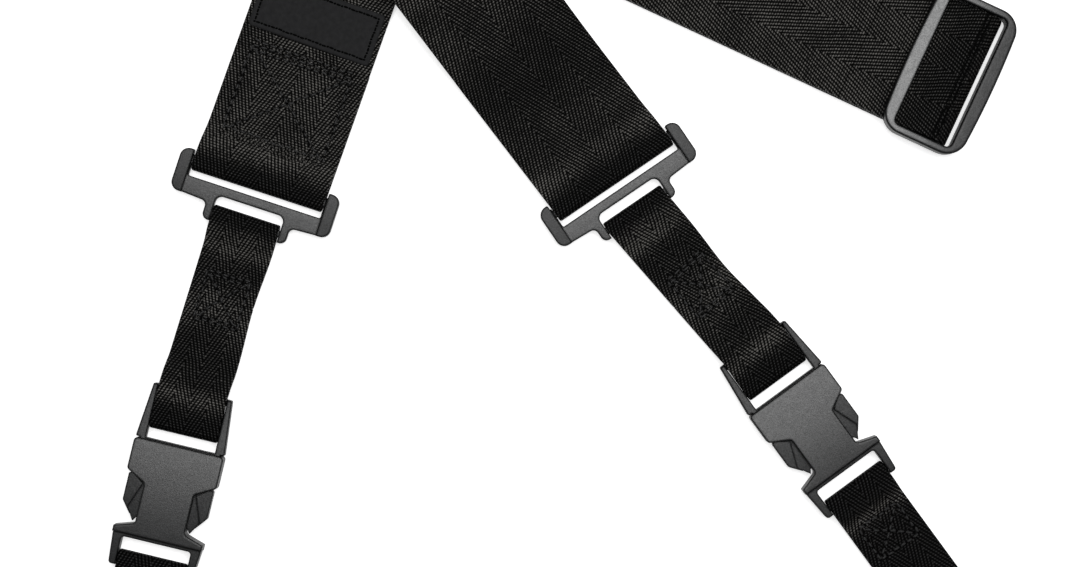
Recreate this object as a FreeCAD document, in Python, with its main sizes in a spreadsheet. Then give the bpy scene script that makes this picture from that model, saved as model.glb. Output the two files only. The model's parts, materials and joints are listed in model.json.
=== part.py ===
import FreeCAD, Part

import math
import os

import Sketcher
from FreeCAD import Base, Matrix, Placement, Rotation, Vector

# Guitar strap with quick-release ends, laid folded on a surface. Millimetres, +Z up.
# One long wide webbing is sewn round the left reducing loop, is folded over flat, runs to the
# tri-glide, turns round it and comes back double to the right reducing loop. From each reducing
# loop hangs a narrow link with a side-release buckle, and its female half carries the guitar tab.

DRIVING = [
    ("wide_width", 50, "width of the main webbing"),
    ("wide_thick", 1.6, "thickness of the main webbing"),
    ("narrow_width", 25, "width of the link and tab webbing"),
    ("narrow_thick", 1.4, "thickness of the link and tab webbing"),
    ("layer_gap", 0.1, "gap between layers of webbing"),
    ("side_play", 0.6, "play beside the webbing in a slot, each side"),
    ("loop_play", 0.23, "play between a bar's corner and the webbing round it"),
    ("bar_depth", 3.2, "bar for the main webbing, along the strap"),
    ("bar_thick", 2.4, "bar for the main webbing, through the strap"),
    ("small_bar_depth", 2.8, "bar for the narrow webbing, along the strap"),
    ("small_bar_thick", 2.2, "bar for the narrow webbing, through the strap"),
    ("bar_rounding", 0.6, "rounding of a bar's long edges"),
    ("plate_thick", 3.0, "reducing loop: plate"),
    ("ear_thick", 4.2, "reducing loop: raised ears"),
    ("ear_width", 4.6, "reducing loop: ear, across the strap"),
    ("ear_above", 4.0, "reducing loop: ear above the top bar's middle"),
    ("ear_below", 12.4, "reducing loop: ear below the top bar's middle"),
    ("ear_radius", 3.4, "reducing loop: ear's outer corners"),
    ("ear_step", 0.5, "reducing loop: from a slot's end to the ear"),
    ("ear_edge", 0.45, "reducing loop: rounding of an ear's rims"),
    ("open_wide_slot", 2.2, "reducing loop: open height below the main webbing's turn"),
    ("open_small_slot", 3.4, "reducing loop: open height above the link's turn"),
    ("web_depth", 3.7, "reducing loop: web between the slots"),
    ("web_side", 3.4, "reducing loop: plate's side below the lower slot's head"),
    ("web_arm", 3.1, "reducing loop: arm beside the lower slot"),
    ("web_foot", 3.2, "reducing loop: below the lower bar's middle"),
    ("web_round", 2.4, "reducing loop: rounded foot of an arm"),
    ("web_sweep", 2.0, "reducing loop: concave sweep from the side to the arm"),
    ("plate_rise", 0.6, "reducing loop: plate beyond the top bar"),
    ("plate_inset", 0.15, "reducing loop: plate's ends inside the ears' rims"),
    ("slot_head", 2.4, "rounding at the head of the link's slot"),
    ("slot_corner", 1.2, "rounding in the corners of a slot"),
    ("moulding_edge", 0.5, "rounding of a moulding's rims"),
    ("buckle_side", 3.8, "buckle: housing beside the link's slot, each side"),
    ("buckle_thick", 7.5, "buckle: housing"),
    ("buckle_edge", 0.6, "buckle: rounding of the housing's rims"),
    ("buckle_corner", 1.5, "buckle: rounding of the housing's corners"),
    ("shell_wall", 1.4, "buckle: housing's wall"),
    ("side_length", 12.0, "buckle: housing's side wall, from the mouth"),
    ("window_slope", 4.0, "buckle: slanted edge at the head of a side window"),
    ("window_depth", 7.5, "buckle: how far a side window cuts in"),
    ("waist_end", 31.1, "buckle: from the mouth to the end of the windows"),
    ("flare_depth", 2.3, "buckle: slant from the waist out to the end loop"),
    ("flare_flat", 2.2, "buckle: thick part of the housing beyond the slant"),
    ("end_wall", 1.5, "buckle: wall that closes the housing"),
    ("catch_depth", 1.3, "buckle: ledge that the prongs hook behind"),
    ("catch_length", 2.5, "buckle: the ledge, along the strap"),
    ("end_web", 3.5, "buckle: web before the tab's slot"),
    ("end_thick", 5.4, "buckle: end loop"),
    ("end_taper", 1.2, "buckle: how much narrower each side of the end loop gets"),
    ("end_foot", 2.7, "buckle: end loop beyond its bar's middle"),
    ("open_end_slot", 4.8, "buckle: open height above the tab's turn"),
    ("open_link_slot", 3.8, "buckle: open height below the link's turn"),
    ("frame_thick", 4.4, "male half: side bars"),
    ("frame_length", 20.8, "male half: side bars, out of the housing"),
    ("frame_taper", 2.1, "male half: how much narrower each side gets at its end"),
    ("frame_gap", 0.25, "male half: gap between side bars and housing"),
    ("shoulder_back", 0.4, "male half: shoulder's edge before the mouth"),
    ("shoulder_length", 3.0, "male half: shoulder inside the mouth"),
    ("shoulder_play", 0.3, "male half: play of the shoulder in the mouth, each side"),
    ("end_bar_radius", 1.3, "male half: round bar at the end"),
    ("end_bar_drop", 1.6, "male half: the round bar's middle below the frame's"),
    ("tongue_width", 5.2, "male half: guide tongue"),
    ("tongue_thick", 3.0, "male half: guide tongue"),
    ("tongue_reach", 26.0, "male half: guide tongue, from the mouth"),
    ("tongue_point", 4.0, "male half: the tongue's tapered point"),
    ("root_radius", 1.2, "prong: round root in the shoulder"),
    ("root_inset", 5.4, "prong: root inside the housing's side"),
    ("root_play", 0.05, "prong: radial play of the root in its seat"),
    ("arm_width", 2.0, "prong: springy arm"),
    ("prong_thick", 3.4, "prong: arm and lower facet"),
    ("button_thick", 4.3, "prong: thumb facet"),
    ("button_inset", 0.9, "prong: thumb facet inside the housing's width"),
    ("button_gap", 0.3, "prong: front face behind the ledge"),
    ("button_straight", 10.6, "prong: straight outer edge"),
    ("button_cover", 1.8, "prong: inner edge under the waist's side"),
    ("tip_offset", 1.4, "prong: tip outside the waist"),
    ("button_edge", 0.3, "prong: rounding of the thumb facet's rims"),
    ("tip_gap", 0.5, "prong: tip before the end of its window"),
    ("facet_offset", 0.6, "prong: thumb facet's edge outside the waist, at its head"),
    ("facet_slant", 3.5, "prong: the thumb facet's slanted edge, across"),
    ("rail_width", 3.0, "tri-glide: side rail"),
    ("glide_length", 33.8, "tri-glide: along the strap"),
    ("near_bar", 5.8, "tri-glide: bar over the webbing, along the strap"),
    ("far_bar", 5.4, "tri-glide: bar at the far side"),
    ("bar_bulge", 1.2, "tri-glide: how far the long sides bulge"),
    ("glide_height", 6.6, "tri-glide: rails and far bar"),
    ("glide_clear", 0.2, "tri-glide: gap over the webbing under the near bar"),
    ("glide_corner", 8.0, "tri-glide: outer corners"),
    ("glide_inner_corner", 2.0, "tri-glide: corners of the opening"),
    ("glide_edge", 0.9, "tri-glide: rounding of the rims"),
    ("middle_bar_offset", 4.7, "tri-glide: middle bar beyond the frame's middle"),
    ("glide_bend", 11, "bend of the webbing inside the tri-glide"),
    ("label_width", 47, "label, across the strap"),
    ("label_height", 20, "label, along the strap"),
    ("label_thick", 1.0, "label"),
    ("label_radius", 1.5, "label's corners"),
    ("label_start", 53.4, "label's lower edge above the top bar"),
    ("sewn_tail", 50, "left leg: end that is turned back and sewn"),
    ("turn_flat", 4.0, "straight webbing next to a turn"),
    ("turn_bend", 12.0, "bend of the main webbing next to a turn"),
    ("small_bend", 8.0, "bend of the narrow webbing"),
    ("dip_bend", 4.0, "link: bend between its two bars in the buckle"),
    ("link_flat", 3.0, "narrow webbing: straight next to a turn"),
    ("bar_rest", 4.0, "link: straight webbing over the round end bar"),
    ("bar_rest_play", 0.2, "link: gap over the round end bar"),
    ("link_seam_gap", 0.6, "link: gap between its two ends"),
    ("drape_bend", 70, "bend where the doubled leg comes down"),
    ("drape_start", 44, "doubled leg: flat part above the right loop"),
    ("cross_bend", 60, "bend where a layer climbs over others"),
    ("climb_start", 80, "left leg: where it starts to climb"),
    ("fall_start", 34, "upper run: where it comes down after the fold"),
    ("step_bend", 20, "upper run: bend where it steps over the sewn end"),
    ("step_start", 47, "upper run: that step starts before the tri-glide"),
    ("link_length", 78.4, "between the two bars of a link"),
    ("link_lead", 2.0, "link: flat stretch between its climb and its knee"),
    ("tab_length", 75, "guitar tab, from its bar"),
    ("tab_radius", 5, "guitar tab's corners"),
    ("eyelet_inset", 13, "eyelet from the tab's end"),
    ("eyelet_bore", 2.75, "eyelet: radius of its hole"),
    ("eyelet_wall", 0.5, "eyelet: barrel"),
    ("eyelet_flange", 5.5, "eyelet and washer: outer radius"),
    ("eyelet_dome", 0.8, "eyelet: height of its flange"),
    ("eyelet_curl", 0.8, "eyelet: rim rolled out under the washer"),
    ("washer_thick", 0.3, "washer under the tab"),
    ("eyelet_play", 0.1, "play round the barrel"),
    ("floor_gap", 0.02, "eyelet's rim above the surface"),
    ("left_bar_x", -103.7, "left loop's top bar in the layout"),
    ("left_bar_y", 37.9, "left loop's top bar in the layout"),
    ("left_loop_turn", 18.2, "left loop, degrees from straight down"),
    ("left_leg_turn", 19.6, "left leg, degrees from straight up"),
    ("left_link_turn", 16.5, "left link, degrees from straight down"),
    ("left_buckle_turn", 13.5, "left buckle, degrees from straight down"),
    ("right_bar_x", 26.45, "right loop's top bar in the layout"),
    ("right_bar_y", 40.4, "right loop's top bar in the layout"),
    ("right_loop_turn", 34.2, "right loop, degrees from straight down"),
    ("right_leg_turn", 37.4, "right leg, degrees from straight up"),
    ("right_link_turn", 40.2, "right link, degrees from straight down"),
    ("right_buckle_turn", 36.2, "right buckle, degrees from straight down"),
    ("glide_x", 150.45, "tri-glide in the layout"),
    ("glide_y", 78.03, "tri-glide in the layout"),
    ("upper_run_turn", 24.9, "upper run, degrees below level"),
    ("slack_start", 120, "sliding stretch starts before the tri-glide"),
    ("slack_end", 33, "sliding stretch ends before the tri-glide"),
    ("sewn_end_tail", 34, "main webbing's other end, sewn back under itself"),
]

doc = FreeCAD.newDocument("guitar_strap")
sheet = doc.addObject("Spreadsheet::Sheet", "Sizes")
for row, (alias, number, note) in enumerate(DRIVING, 1):
    sheet.set(f"A{row}", alias)
    sheet.set(f"B{row}", str(number))
    sheet.set(f"C{row}", note)
    sheet.setAlias(f"B{row}", alias)
doc.recompute()


class Size:
    """A number with the sheet's expression for it, so that sums of sizes stay bound."""

    def __init__(self, value, text):
        self.value, self.text = value, text

    def __add__(self, other):
        other = size(other)
        return Size(self.value + other.value, f"({self.text} + {other.text})")

    def __sub__(self, other):
        other = size(other)
        return Size(self.value - other.value, f"({self.text} - {other.text})")

    def __mul__(self, other):
        other = size(other)
        return Size(self.value * other.value, f"({self.text} * {other.text})")

    def __truediv__(self, other):
        other = size(other)
        return Size(self.value / other.value, f"({self.text} / {other.text})")

    def __neg__(self):
        return Size(-self.value, f"(0 - {self.text})")

    def __radd__(self, other):
        return size(other) + self

    def __rsub__(self, other):
        return size(other) - self

    def __rmul__(self, other):
        return size(other) * self


def size(number):
    return number if isinstance(number, Size) else Size(float(number), f"({float(number)!r})")


def diagonal(a, b):
    return Size(math.hypot(a.value, b.value), f"sqrt({(a * a).text} + {(b * b).text})")


class Named:
    """The driving sizes by name."""

    def __getattr__(self, alias):
        return Size(float(sheet.get(alias)), f"Sizes.{alias}")


S = Named()

# What fits another piece comes from the same sizes as that piece.
wide_turn = diagonal(S.bar_depth / 2 - S.bar_rounding, S.bar_thick / 2 - S.bar_rounding)
wide_turn = wide_turn + S.bar_rounding + S.loop_play
small_turn = diagonal(S.small_bar_depth / 2 - S.bar_rounding, S.small_bar_thick / 2 - S.bar_rounding)
small_turn = small_turn + S.bar_rounding + S.loop_play
wide_outer = wide_turn + S.wide_thick
small_outer = small_turn + S.narrow_thick
wide_middle = wide_turn + S.wide_thick / 2
small_middle = small_turn + S.narrow_thick / 2
wide_pitch = S.wide_thick + S.layer_gap
small_pitch = S.narrow_thick + S.layer_gap
wide_slot = S.wide_width / 2 + S.side_play
small_slot = S.narrow_width / 2 + S.side_play

upper_slot_foot = wide_outer + S.open_wide_slot
lower_slot_head = upper_slot_foot + S.web_depth
lower_bar_y = lower_slot_head + S.open_small_slot + small_outer
flare_end = S.waist_end + S.flare_depth
end_slot_head = flare_end + S.end_web
end_bar_y = end_slot_head + S.open_end_slot + small_outer
middle_bar_y = -S.shoulder_back - S.open_link_slot - small_outer
end_bar_back = S.frame_length - S.end_bar_radius
buckle_half = small_slot + S.buckle_side
waist = buckle_half - S.window_depth
root_offset = buckle_half - S.root_inset
ledge_inner = buckle_half - S.shell_wall - S.catch_depth
ledge_end = S.side_length + S.window_slope * S.shell_wall / S.window_depth
loop_z = wide_outer
buckle_z = S.buckle_thick / 2
glide_bar_z = wide_turn + S.wide_thick + wide_pitch
glide_top = glide_bar_z + wide_outer + wide_pitch


def level(number):
    """Height of the middle of a layer of the main webbing, counted from the surface."""
    return S.wide_thick / 2 + wide_pitch * number


pieces = []


def keep(obj, name):
    obj.Label = name
    pieces.append(obj)
    return obj


# ---- mouldings: padded and cut outlines in a body ----

def origin_plane(body, role):
    return [f for f in body.Origin.OriginFeatures if f.Role == role][0]


class Moulding:
    """A body that is drawn with X across the strap, Y down the strap and Z up."""

    def __init__(self, name):
        self.body = doc.addObject("PartDesign::Body", name)
        self.count = 0
        keep(self.body, name)

    def outline(self, rings, height):
        """A sketch of closed rings; a corner (x, y, bulge) starts an arc of that height."""
        self.count += 1
        sketch = self.body.newObject("Sketcher::SketchObject", f"outline{self.count}")
        sketch.AttachmentSupport = [(origin_plane(self.body, "XY_Plane"), "")]
        sketch.MapMode = "FlatFace"
        for ring in rings:
            self.draw(sketch, ring)
        if size(height).value != 0:
            sketch.AttachmentOffset = Placement(Vector(0, 0, size(height).value), Rotation())
            sketch.setExpression("AttachmentOffset.Base.z", size(height).text)
        return sketch

    def draw(self, sketch, ring):
        corners = [[size(number) for number in corner] for corner in ring]
        first = sketch.GeometryCount
        for i, corner in enumerate(corners):
            following = corners[(i + 1) % len(corners)]
            start = Vector(corner[0].value, corner[1].value, 0)
            end = Vector(following[0].value, following[1].value, 0)
            if len(corner) == 2:
                sketch.addGeometry(Part.LineSegment(start, end), False)
            else:
                chord = end - start
                out = Vector(chord.y, -chord.x, 0).normalize() * corner[2].value
                sketch.addGeometry(Part.Arc(start, (start + end) * 0.5 + out, end), False)
        for i, corner in enumerate(corners):
            following = corners[(i + 1) % len(corners)]
            item = first + i
            begin, finish = self.ends(sketch, item, corner)
            begin_next, _ = self.ends(sketch, first + (i + 1) % len(corners), following)
            sketch.addConstraint(Sketcher.Constraint(
                "Coincident", item, finish, first + (i + 1) % len(corners), begin_next))
            for kind, number in (("DistanceX", corner[0]), ("DistanceY", corner[1])):
                index = sketch.addConstraint(
                    Sketcher.Constraint(kind, -1, 1, item, begin, number.value))
                sketch.setExpression(f"Constraints[{index}]", number.text)
            if len(corner) == 3:
                half = diagonal(following[0] - corner[0], following[1] - corner[1]) / 2
                radius = (half * half + corner[2] * corner[2]) / (corner[2] * 2)
                index = sketch.addConstraint(Sketcher.Constraint("Radius", item, radius.value))
                sketch.setExpression(f"Constraints[{index}]", radius.text)

    def ends(self, sketch, item, corner):
        """Which end of a line or arc is at its corner, and which is at the next one."""
        begin = sketch.getPoint(item, 1)
        near = Vector(corner[0].value, corner[1].value, 0)
        return (1, 2) if begin.distanceToPoint(near) < 1e-4 else (2, 1)

    def solid(self, kind, rings, thick, height):
        sketch = self.outline(rings, height)
        feature = self.body.newObject(kind, f"feature{self.count}")
        feature.Profile = sketch
        feature.SideType = "Symmetric"
        feature.setExpression("Length", size(thick).text)
        sketch.Visibility = False
        doc.recompute()
        return feature

    def pad(self, rings, thick, height=0):
        return self.solid("PartDesign::Pad", rings, thick, height)

    def pocket(self, rings, thick, height=0):
        return self.solid("PartDesign::Pocket", rings, thick, height)

    def cylinder(self, plane, radius, height, base, kind="Additive"):
        """A round bar, root or seat that stands on one of the body's planes."""
        self.count += 1
        rod = self.body.newObject(f"PartDesign::{kind}Cylinder", f"round{self.count}")
        rod.AttachmentSupport = [(origin_plane(self.body, plane), "")]
        rod.MapMode = "FlatFace"
        rod.setExpression("Radius", size(radius).text)
        rod.setExpression("Height", size(height).text)
        for axis, number in zip("xyz", base):
            rod.setExpression(f"AttachmentOffset.Base.{axis}", size(number).text)
        doc.recompute()

    def fillet(self, radius, wanted):
        """Round the edges of the shape so far that the test picks."""
        tip = self.body.Tip
        names = []
        for i, edge in enumerate(tip.Shape.Edges, 1):
            if wanted(edge):
                names.append(f"Edge{i}")
        if not names:
            raise RuntimeError(f"{self.body.Label}: no edge to round")
        self.count += 1
        feature = self.body.newObject("PartDesign::Fillet", f"rounding{self.count}")
        feature.Base = (tip, names)
        feature.setExpression("Radius", size(radius).text)
        doc.recompute()
        if feature.Shape.isNull() or not feature.Shape.isValid() or "Invalid" in feature.State:
            raise RuntimeError(f"{self.body.Label}: rounding {self.count} failed {feature.State}")

    def place(self, where):
        self.body.Placement = where
        doc.recompute()
        return self


def at(*corners):
    """Picks upright edges at these corners of an outline, on both sides of the middle."""
    spots = [(size(x).value, size(y).value) for x, y in corners]

    def wanted(edge):
        box = edge.BoundBox
        if box.XLength > 1e-3 or box.YLength > 1e-3:
            return False
        middle = box.Center
        return any(math.hypot(abs(middle.x) - x, middle.y - y) < 1e-3 for x, y in spots)
    return wanted


def rims(*heights, beyond=-1000):
    """Picks the edges in level planes at these heights, that reach further than `beyond`."""
    levels = [size(height).value for height in heights]
    beyond = size(beyond).value + 0.01

    def wanted(edge):
        box = edge.BoundBox
        if box.ZLength > 1e-3 or box.YMax < beyond:
            return False
        return any(abs(box.Center.z - z) < 1e-3 for z in levels)
    return wanted


def crossing(middle, depth, thick, height=0):
    """Picks the four long edges of a bar that lies across the strap."""
    y, z = size(middle).value, size(height).value
    half_y, half_z = size(depth).value / 2, size(thick).value / 2

    def wanted(edge):
        box = edge.BoundBox
        if box.YLength > 1e-3 or box.ZLength > 1e-3:
            return False
        return abs(abs(box.Center.y - y) - half_y) < 1e-3 and abs(abs(box.Center.z - z) - half_z) < 1e-3
    return wanted


def rectangle(x0, x1, y0, y1):
    return [(x0, y0), (x1, y0), (x1, y1), (x0, y1)]


def mirrored(half):
    """A ring from the corners on the right, listed from the first to the last."""
    return half + [(-corner[0], *corner[1:]) for corner in reversed(half)]


def reducing_loop(name, where):
    """Top bar for the main webbing, web, arms and a lower bar for the narrow link."""
    m = Moulding(name)
    ear_in = wide_slot + S.ear_step
    ear_out = ear_in + S.ear_width
    side = ear_in + S.ear_width / 4
    web_y = lower_slot_head + S.web_side
    arm = small_slot + S.web_arm
    foot = lower_bar_y + S.web_foot
    plate_top = -S.bar_depth / 2 - S.plate_rise
    half = [
        (small_slot, lower_slot_head), (small_slot, foot), (arm, foot), (arm, web_y),
        (side, S.ear_below - S.plate_inset), (side, plate_top), (wide_slot, plate_top),
        (wide_slot, upper_slot_foot)]
    m.pad([mirrored(half)], S.plate_thick)
    m.fillet(S.web_sweep, at((arm, web_y)))
    m.fillet(S.web_round, at((arm, foot)))
    m.fillet(S.slot_head, at((small_slot, lower_slot_head)))
    m.fillet(S.slot_corner / 2, at((wide_slot, upper_slot_foot)))
    m.fillet(S.moulding_edge, rims(S.plate_thick / 2, -S.plate_thick / 2))
    for sign in (1, -1):
        m.pad([rectangle(sign * ear_in, sign * ear_out, -S.ear_above, S.ear_below)], S.ear_thick)
    m.fillet(S.ear_radius, at((ear_out, -S.ear_above), (ear_out, S.ear_below)))
    m.fillet(S.slot_corner / 2, at((ear_in, -S.ear_above)))
    m.fillet(S.ear_edge, rims(S.ear_thick / 2, -S.ear_thick / 2))
    m.pad([rectangle(-ear_in, ear_in, -S.bar_depth / 2, S.bar_depth / 2)], S.bar_thick)
    m.fillet(S.bar_rounding, crossing(0, S.bar_depth, S.bar_thick))
    low, high = lower_bar_y - S.small_bar_depth / 2, lower_bar_y + S.small_bar_depth / 2
    m.pad([rectangle(-small_slot - 1, small_slot + 1, low, high)], S.small_bar_thick)
    m.fillet(S.bar_rounding, crossing(lower_bar_y, S.small_bar_depth, S.small_bar_thick))
    return m.place(where)


def female_half(name, where):
    """Hollow housing with two side windows, and an end loop with a bar for the tab."""
    m = Moulding(name)
    window = S.side_length + S.window_slope
    end_half = buckle_half - S.end_taper
    foot = end_bar_y + S.end_foot
    thick_end = flare_end + S.flare_flat
    m.pad([mirrored([
        (buckle_half, 0), (buckle_half, S.side_length), (waist, window), (waist, S.waist_end),
        (buckle_half, flare_end), (buckle_half, thick_end)])], S.buckle_thick)
    m.fillet(S.buckle_corner, at(
        (buckle_half, 0), (buckle_half, S.side_length), (waist, window), (waist, S.waist_end)))
    m.fillet(S.buckle_edge, rims(buckle_z, -buckle_z))
    m.pad([mirrored([
        (small_slot, end_slot_head), (small_slot, foot), (end_half, foot),
        (buckle_half, flare_end)])], S.end_thick)
    m.fillet(S.slot_corner, at((small_slot, end_slot_head), (end_half, foot)))
    m.fillet(S.moulding_edge, rims(S.end_thick / 2, -S.end_thick / 2, beyond=thick_end))
    low, high = end_bar_y - S.small_bar_depth / 2, end_bar_y + S.small_bar_depth / 2
    m.pad([rectangle(-small_slot - 1, small_slot + 1, low, high)], S.small_bar_thick)
    m.fillet(S.bar_rounding, crossing(end_bar_y, S.small_bar_depth, S.small_bar_thick))
    cavity = buckle_half - S.shell_wall
    m.pocket([rectangle(-cavity, cavity, -1, S.waist_end - S.end_wall)],
             S.buckle_thick - 2 * S.shell_wall)
    for sign in (1, -1):
        m.pad([[
            (sign * (cavity + 0.3), ledge_end - S.catch_length - S.catch_depth),
            (sign * ledge_inner, ledge_end - S.catch_length),
            (sign * ledge_inner, ledge_end - 0.1),
            (sign * (cavity + 0.3), ledge_end - 0.1)]], S.buckle_thick - S.shell_wall)
    return m.place(where)


def male_half(name, where):
    """Frame with two bars for the link, shoulder with two seats, and a guide tongue."""
    m = Moulding(name)
    end_half = buckle_half - S.frame_taper
    shoulder = buckle_half - S.shell_wall - S.shoulder_play
    m.pad([mirrored([
        (small_slot, -S.shoulder_back), (small_slot, -S.frame_length), (end_half, -S.frame_length),
        (buckle_half - 0.1, -S.frame_gap), (shoulder, -S.frame_gap),
        (shoulder, S.shoulder_length - 0.1)])], S.frame_thick)
    m.fillet(S.slot_corner / 2, at((end_half, -S.frame_length), (buckle_half - 0.1, -S.frame_gap)))
    m.fillet(S.moulding_edge, rims(S.frame_thick / 2, -S.frame_thick / 2))
    low, high = middle_bar_y - S.small_bar_depth / 2, middle_bar_y + S.small_bar_depth / 2
    m.pad([rectangle(-small_slot - 0.6, small_slot + 0.6, low, high)], S.small_bar_thick)
    m.fillet(S.bar_rounding, crossing(middle_bar_y, S.small_bar_depth, S.small_bar_thick))
    m.cylinder("YZ_Plane", S.end_bar_radius, 2 * small_slot + 1,
               (-end_bar_back, -S.end_bar_drop, -small_slot - 0.5))
    tip = S.tongue_reach - S.tongue_point
    m.pad([mirrored([
        (S.tongue_width / 4, S.tongue_reach), (S.tongue_width / 2, tip),
        (S.tongue_width / 2, S.shoulder_length - 0.6)])], S.tongue_thick)
    m.fillet(S.moulding_edge, at((S.tongue_width / 4, S.tongue_reach), (S.tongue_width / 2, tip)))
    for sign in (1, -1):
        m.cylinder("XY_Plane", S.root_radius + S.root_play, S.buckle_thick,
                   (sign * root_offset, S.shoulder_length, -S.buckle_thick / 2), "Subtractive")
    return m.place(where)


def prong(name, sign, where):
    """Springy arm on a round root, with the thumb facet that shows in the side window."""
    m = Moulding(name)
    outer = buckle_half - S.button_inset
    front = ledge_end + S.button_gap
    straight = front + S.button_straight
    tip = S.waist_end - S.tip_gap
    back = S.waist_end - S.end_wall - S.tip_gap
    arm_in, arm_out = root_offset - S.arm_width / 2, root_offset + S.arm_width / 2
    root = S.shoulder_length
    head = S.side_length + S.window_slope + 0.4
    facet_in = waist + S.facet_offset
    inner = waist - S.button_cover
    tip_out = waist + S.tip_offset
    facet = [
        (outer, front), (outer, straight), (tip_out + 1.6, tip - 2.4),
        (facet_in + S.facet_slant, straight + 2.0), (facet_in, head),
        (ledge_inner - 0.2, front)]
    m.pad([[(sign * x, y) for x, y in facet]], S.button_thick)
    m.fillet(2 * S.moulding_edge, at((outer, front), (outer, straight)))
    m.fillet(S.button_edge, rims(S.button_thick / 2, -S.button_thick / 2))
    inset = outer - 2 * S.moulding_edge
    body = [
        (arm_in, root), (arm_out, root), (arm_out, front - 3), (ledge_inner - 0.6, front - 0.6),
        (ledge_inner - 0.2, front), (inset, front + 0.3), (inset, straight), (tip_out, tip),
        (waist + 0.5, back), (inner + 0.8, back - 0.8),
        (inner, back - 2.4), (inner, front + 5.5), (arm_in, front + 1.5)]
    m.pad([[(sign * x, y) for x, y in body]], S.prong_thick)
    m.cylinder("XY_Plane", S.root_radius, S.prong_thick,
               (sign * root_offset, root, -S.prong_thick / 2))
    return m.place(where)


def tri_glide(name, where):
    """Rounded frame with a near bar over the webbing, a far bar and a low middle bar."""
    m = Moulding(name)
    rail = wide_slot + S.rail_width
    half = S.glide_length / 2 - S.bar_bulge
    near_in = -S.glide_length / 2 + S.near_bar
    far_in = S.glide_length / 2 - S.far_bar
    bottom = glide_top - S.glide_height
    outer = [(-rail, -half, S.bar_bulge), (rail, -half), (rail, half, S.bar_bulge), (-rail, half)]
    m.pad([outer, rectangle(-wide_slot, wide_slot, near_in, far_in)], S.glide_height,
          glide_top - S.glide_height / 2)
    m.fillet(S.glide_corner, at((rail, -half), (rail, half)))
    m.fillet(S.glide_inner_corner, at((wide_slot, near_in), (wide_slot, far_in)))
    m.fillet(S.glide_edge, rims(glide_top))
    clear = level(3) + S.wide_thick / 2 + S.glide_clear
    depth = clear - bottom + 1
    m.pocket([rectangle(-wide_slot, wide_slot, -S.glide_length, near_in + 2.5)], depth,
             clear - depth / 2)
    low, high = S.middle_bar_offset - S.bar_depth / 2, S.middle_bar_offset + S.bar_depth / 2
    m.pad([rectangle(-wide_slot - 1, wide_slot + 1, low, high)], S.bar_thick, glide_bar_z)
    m.fillet(S.bar_rounding, crossing(S.middle_bar_offset, S.bar_depth, S.bar_thick, glide_bar_z))
    return m.place(where)


def label_patch(name, where):
    """The bare label sewn on the left leg."""
    m = Moulding(name)
    half = S.label_width / 2
    m.pad([rectangle(-half, half, -S.label_height / 2, S.label_height / 2)], S.label_thick)
    m.fillet(S.label_radius, at((half, -S.label_height / 2), (half, S.label_height / 2)))
    return m.place(where)


# ---- webbing: a side profile drawn move by move, as wide as the webbing ----

def unit(degrees):
    return Vector(math.cos(math.radians(degrees)), math.sin(math.radians(degrees)), 0)


def go(length):
    return [("go", size(length).value, 0)]


def bend(radius, degrees):
    return [("bend", size(radius).value, degrees)]


def step(rise, first, second):
    """Two equal and opposite bends that lift (or lower) the webbing by `rise`."""
    rise, first, second = size(rise).value, size(first).value, size(second).value
    turn = math.degrees(math.acos(1 - abs(rise) / (first + second)))
    turn = math.copysign(turn, rise)
    return [("bend", first, turn), ("bend", second, -turn)]


def pose_after(pose, moves):
    """Where the path stands after its moves: distance, height and heading."""
    x, z, heading = pose
    for kind, amount, degrees in moves:
        if kind == "go":
            x += amount * math.cos(math.radians(heading))
            z += amount * math.sin(math.radians(heading))
        else:
            side = math.copysign(90, degrees)
            centre = unit(heading + side) * amount
            spoke = unit(heading + side + 180 + degrees) * amount
            x += centre.x + spoke.x
            z += centre.y + spoke.y
            heading += degrees
    return x, z, heading


def advance(moves):
    return pose_after((0, 0, 0), moves)[0]


def beside(pose, aside):
    """The point that lies `aside` to the left of the path."""
    normal = unit(pose[2] + 90) * aside
    return Vector(pose[0] + normal.x, 0, pose[1] + normal.y)


def edge_line(pose, moves, aside):
    edges = []
    for kind, amount, degrees in moves:
        after = pose_after(pose, [(kind, amount, degrees)])
        start, end = beside(pose, aside), beside(after, aside)
        if kind == "go":
            if amount > 1e-6:
                edges.append(Part.makeLine(start, end))
        else:
            middle = beside(pose_after(pose, [(kind, amount, degrees / 2)]), aside)
            edges.append(Part.Arc(start, middle, end).toShape())
        pose = after
    return edges, pose


def ribbon(pose, moves, thick, width):
    """Webbing with this side profile, centred across, X along it and Z up."""
    thick, width = size(thick).value, size(width).value
    left, end = edge_line(pose, moves, thick / 2)
    right, _ = edge_line(pose, moves, -thick / 2)
    caps = [Part.makeLine(beside(p, thick / 2), beside(p, -thick / 2)) for p in (pose, end)]
    wire = Part.Wire(Part.__sortEdges__(left + right + caps))
    face = Part.Face(wire)
    face.translate(Vector(0, -width / 2, 0))
    return face.extrude(Vector(0, width, 0))


def placed(shape, point, degrees, height=0):
    shape = shape.copy()
    shape.Placement = Placement(
        Vector(point.x, point.y, height), Rotation(Vector(0, 0, 1), degrees))
    return shape


def half_turn(point, outward, height, middle, thick, width):
    """Half a turn of webbing round a level bar, on the side that `outward` points to."""
    tube = ribbon((0, -size(middle).value, 0), bend(middle, 180), thick, width)
    return placed(tube, point, outward, size(height).value)


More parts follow.
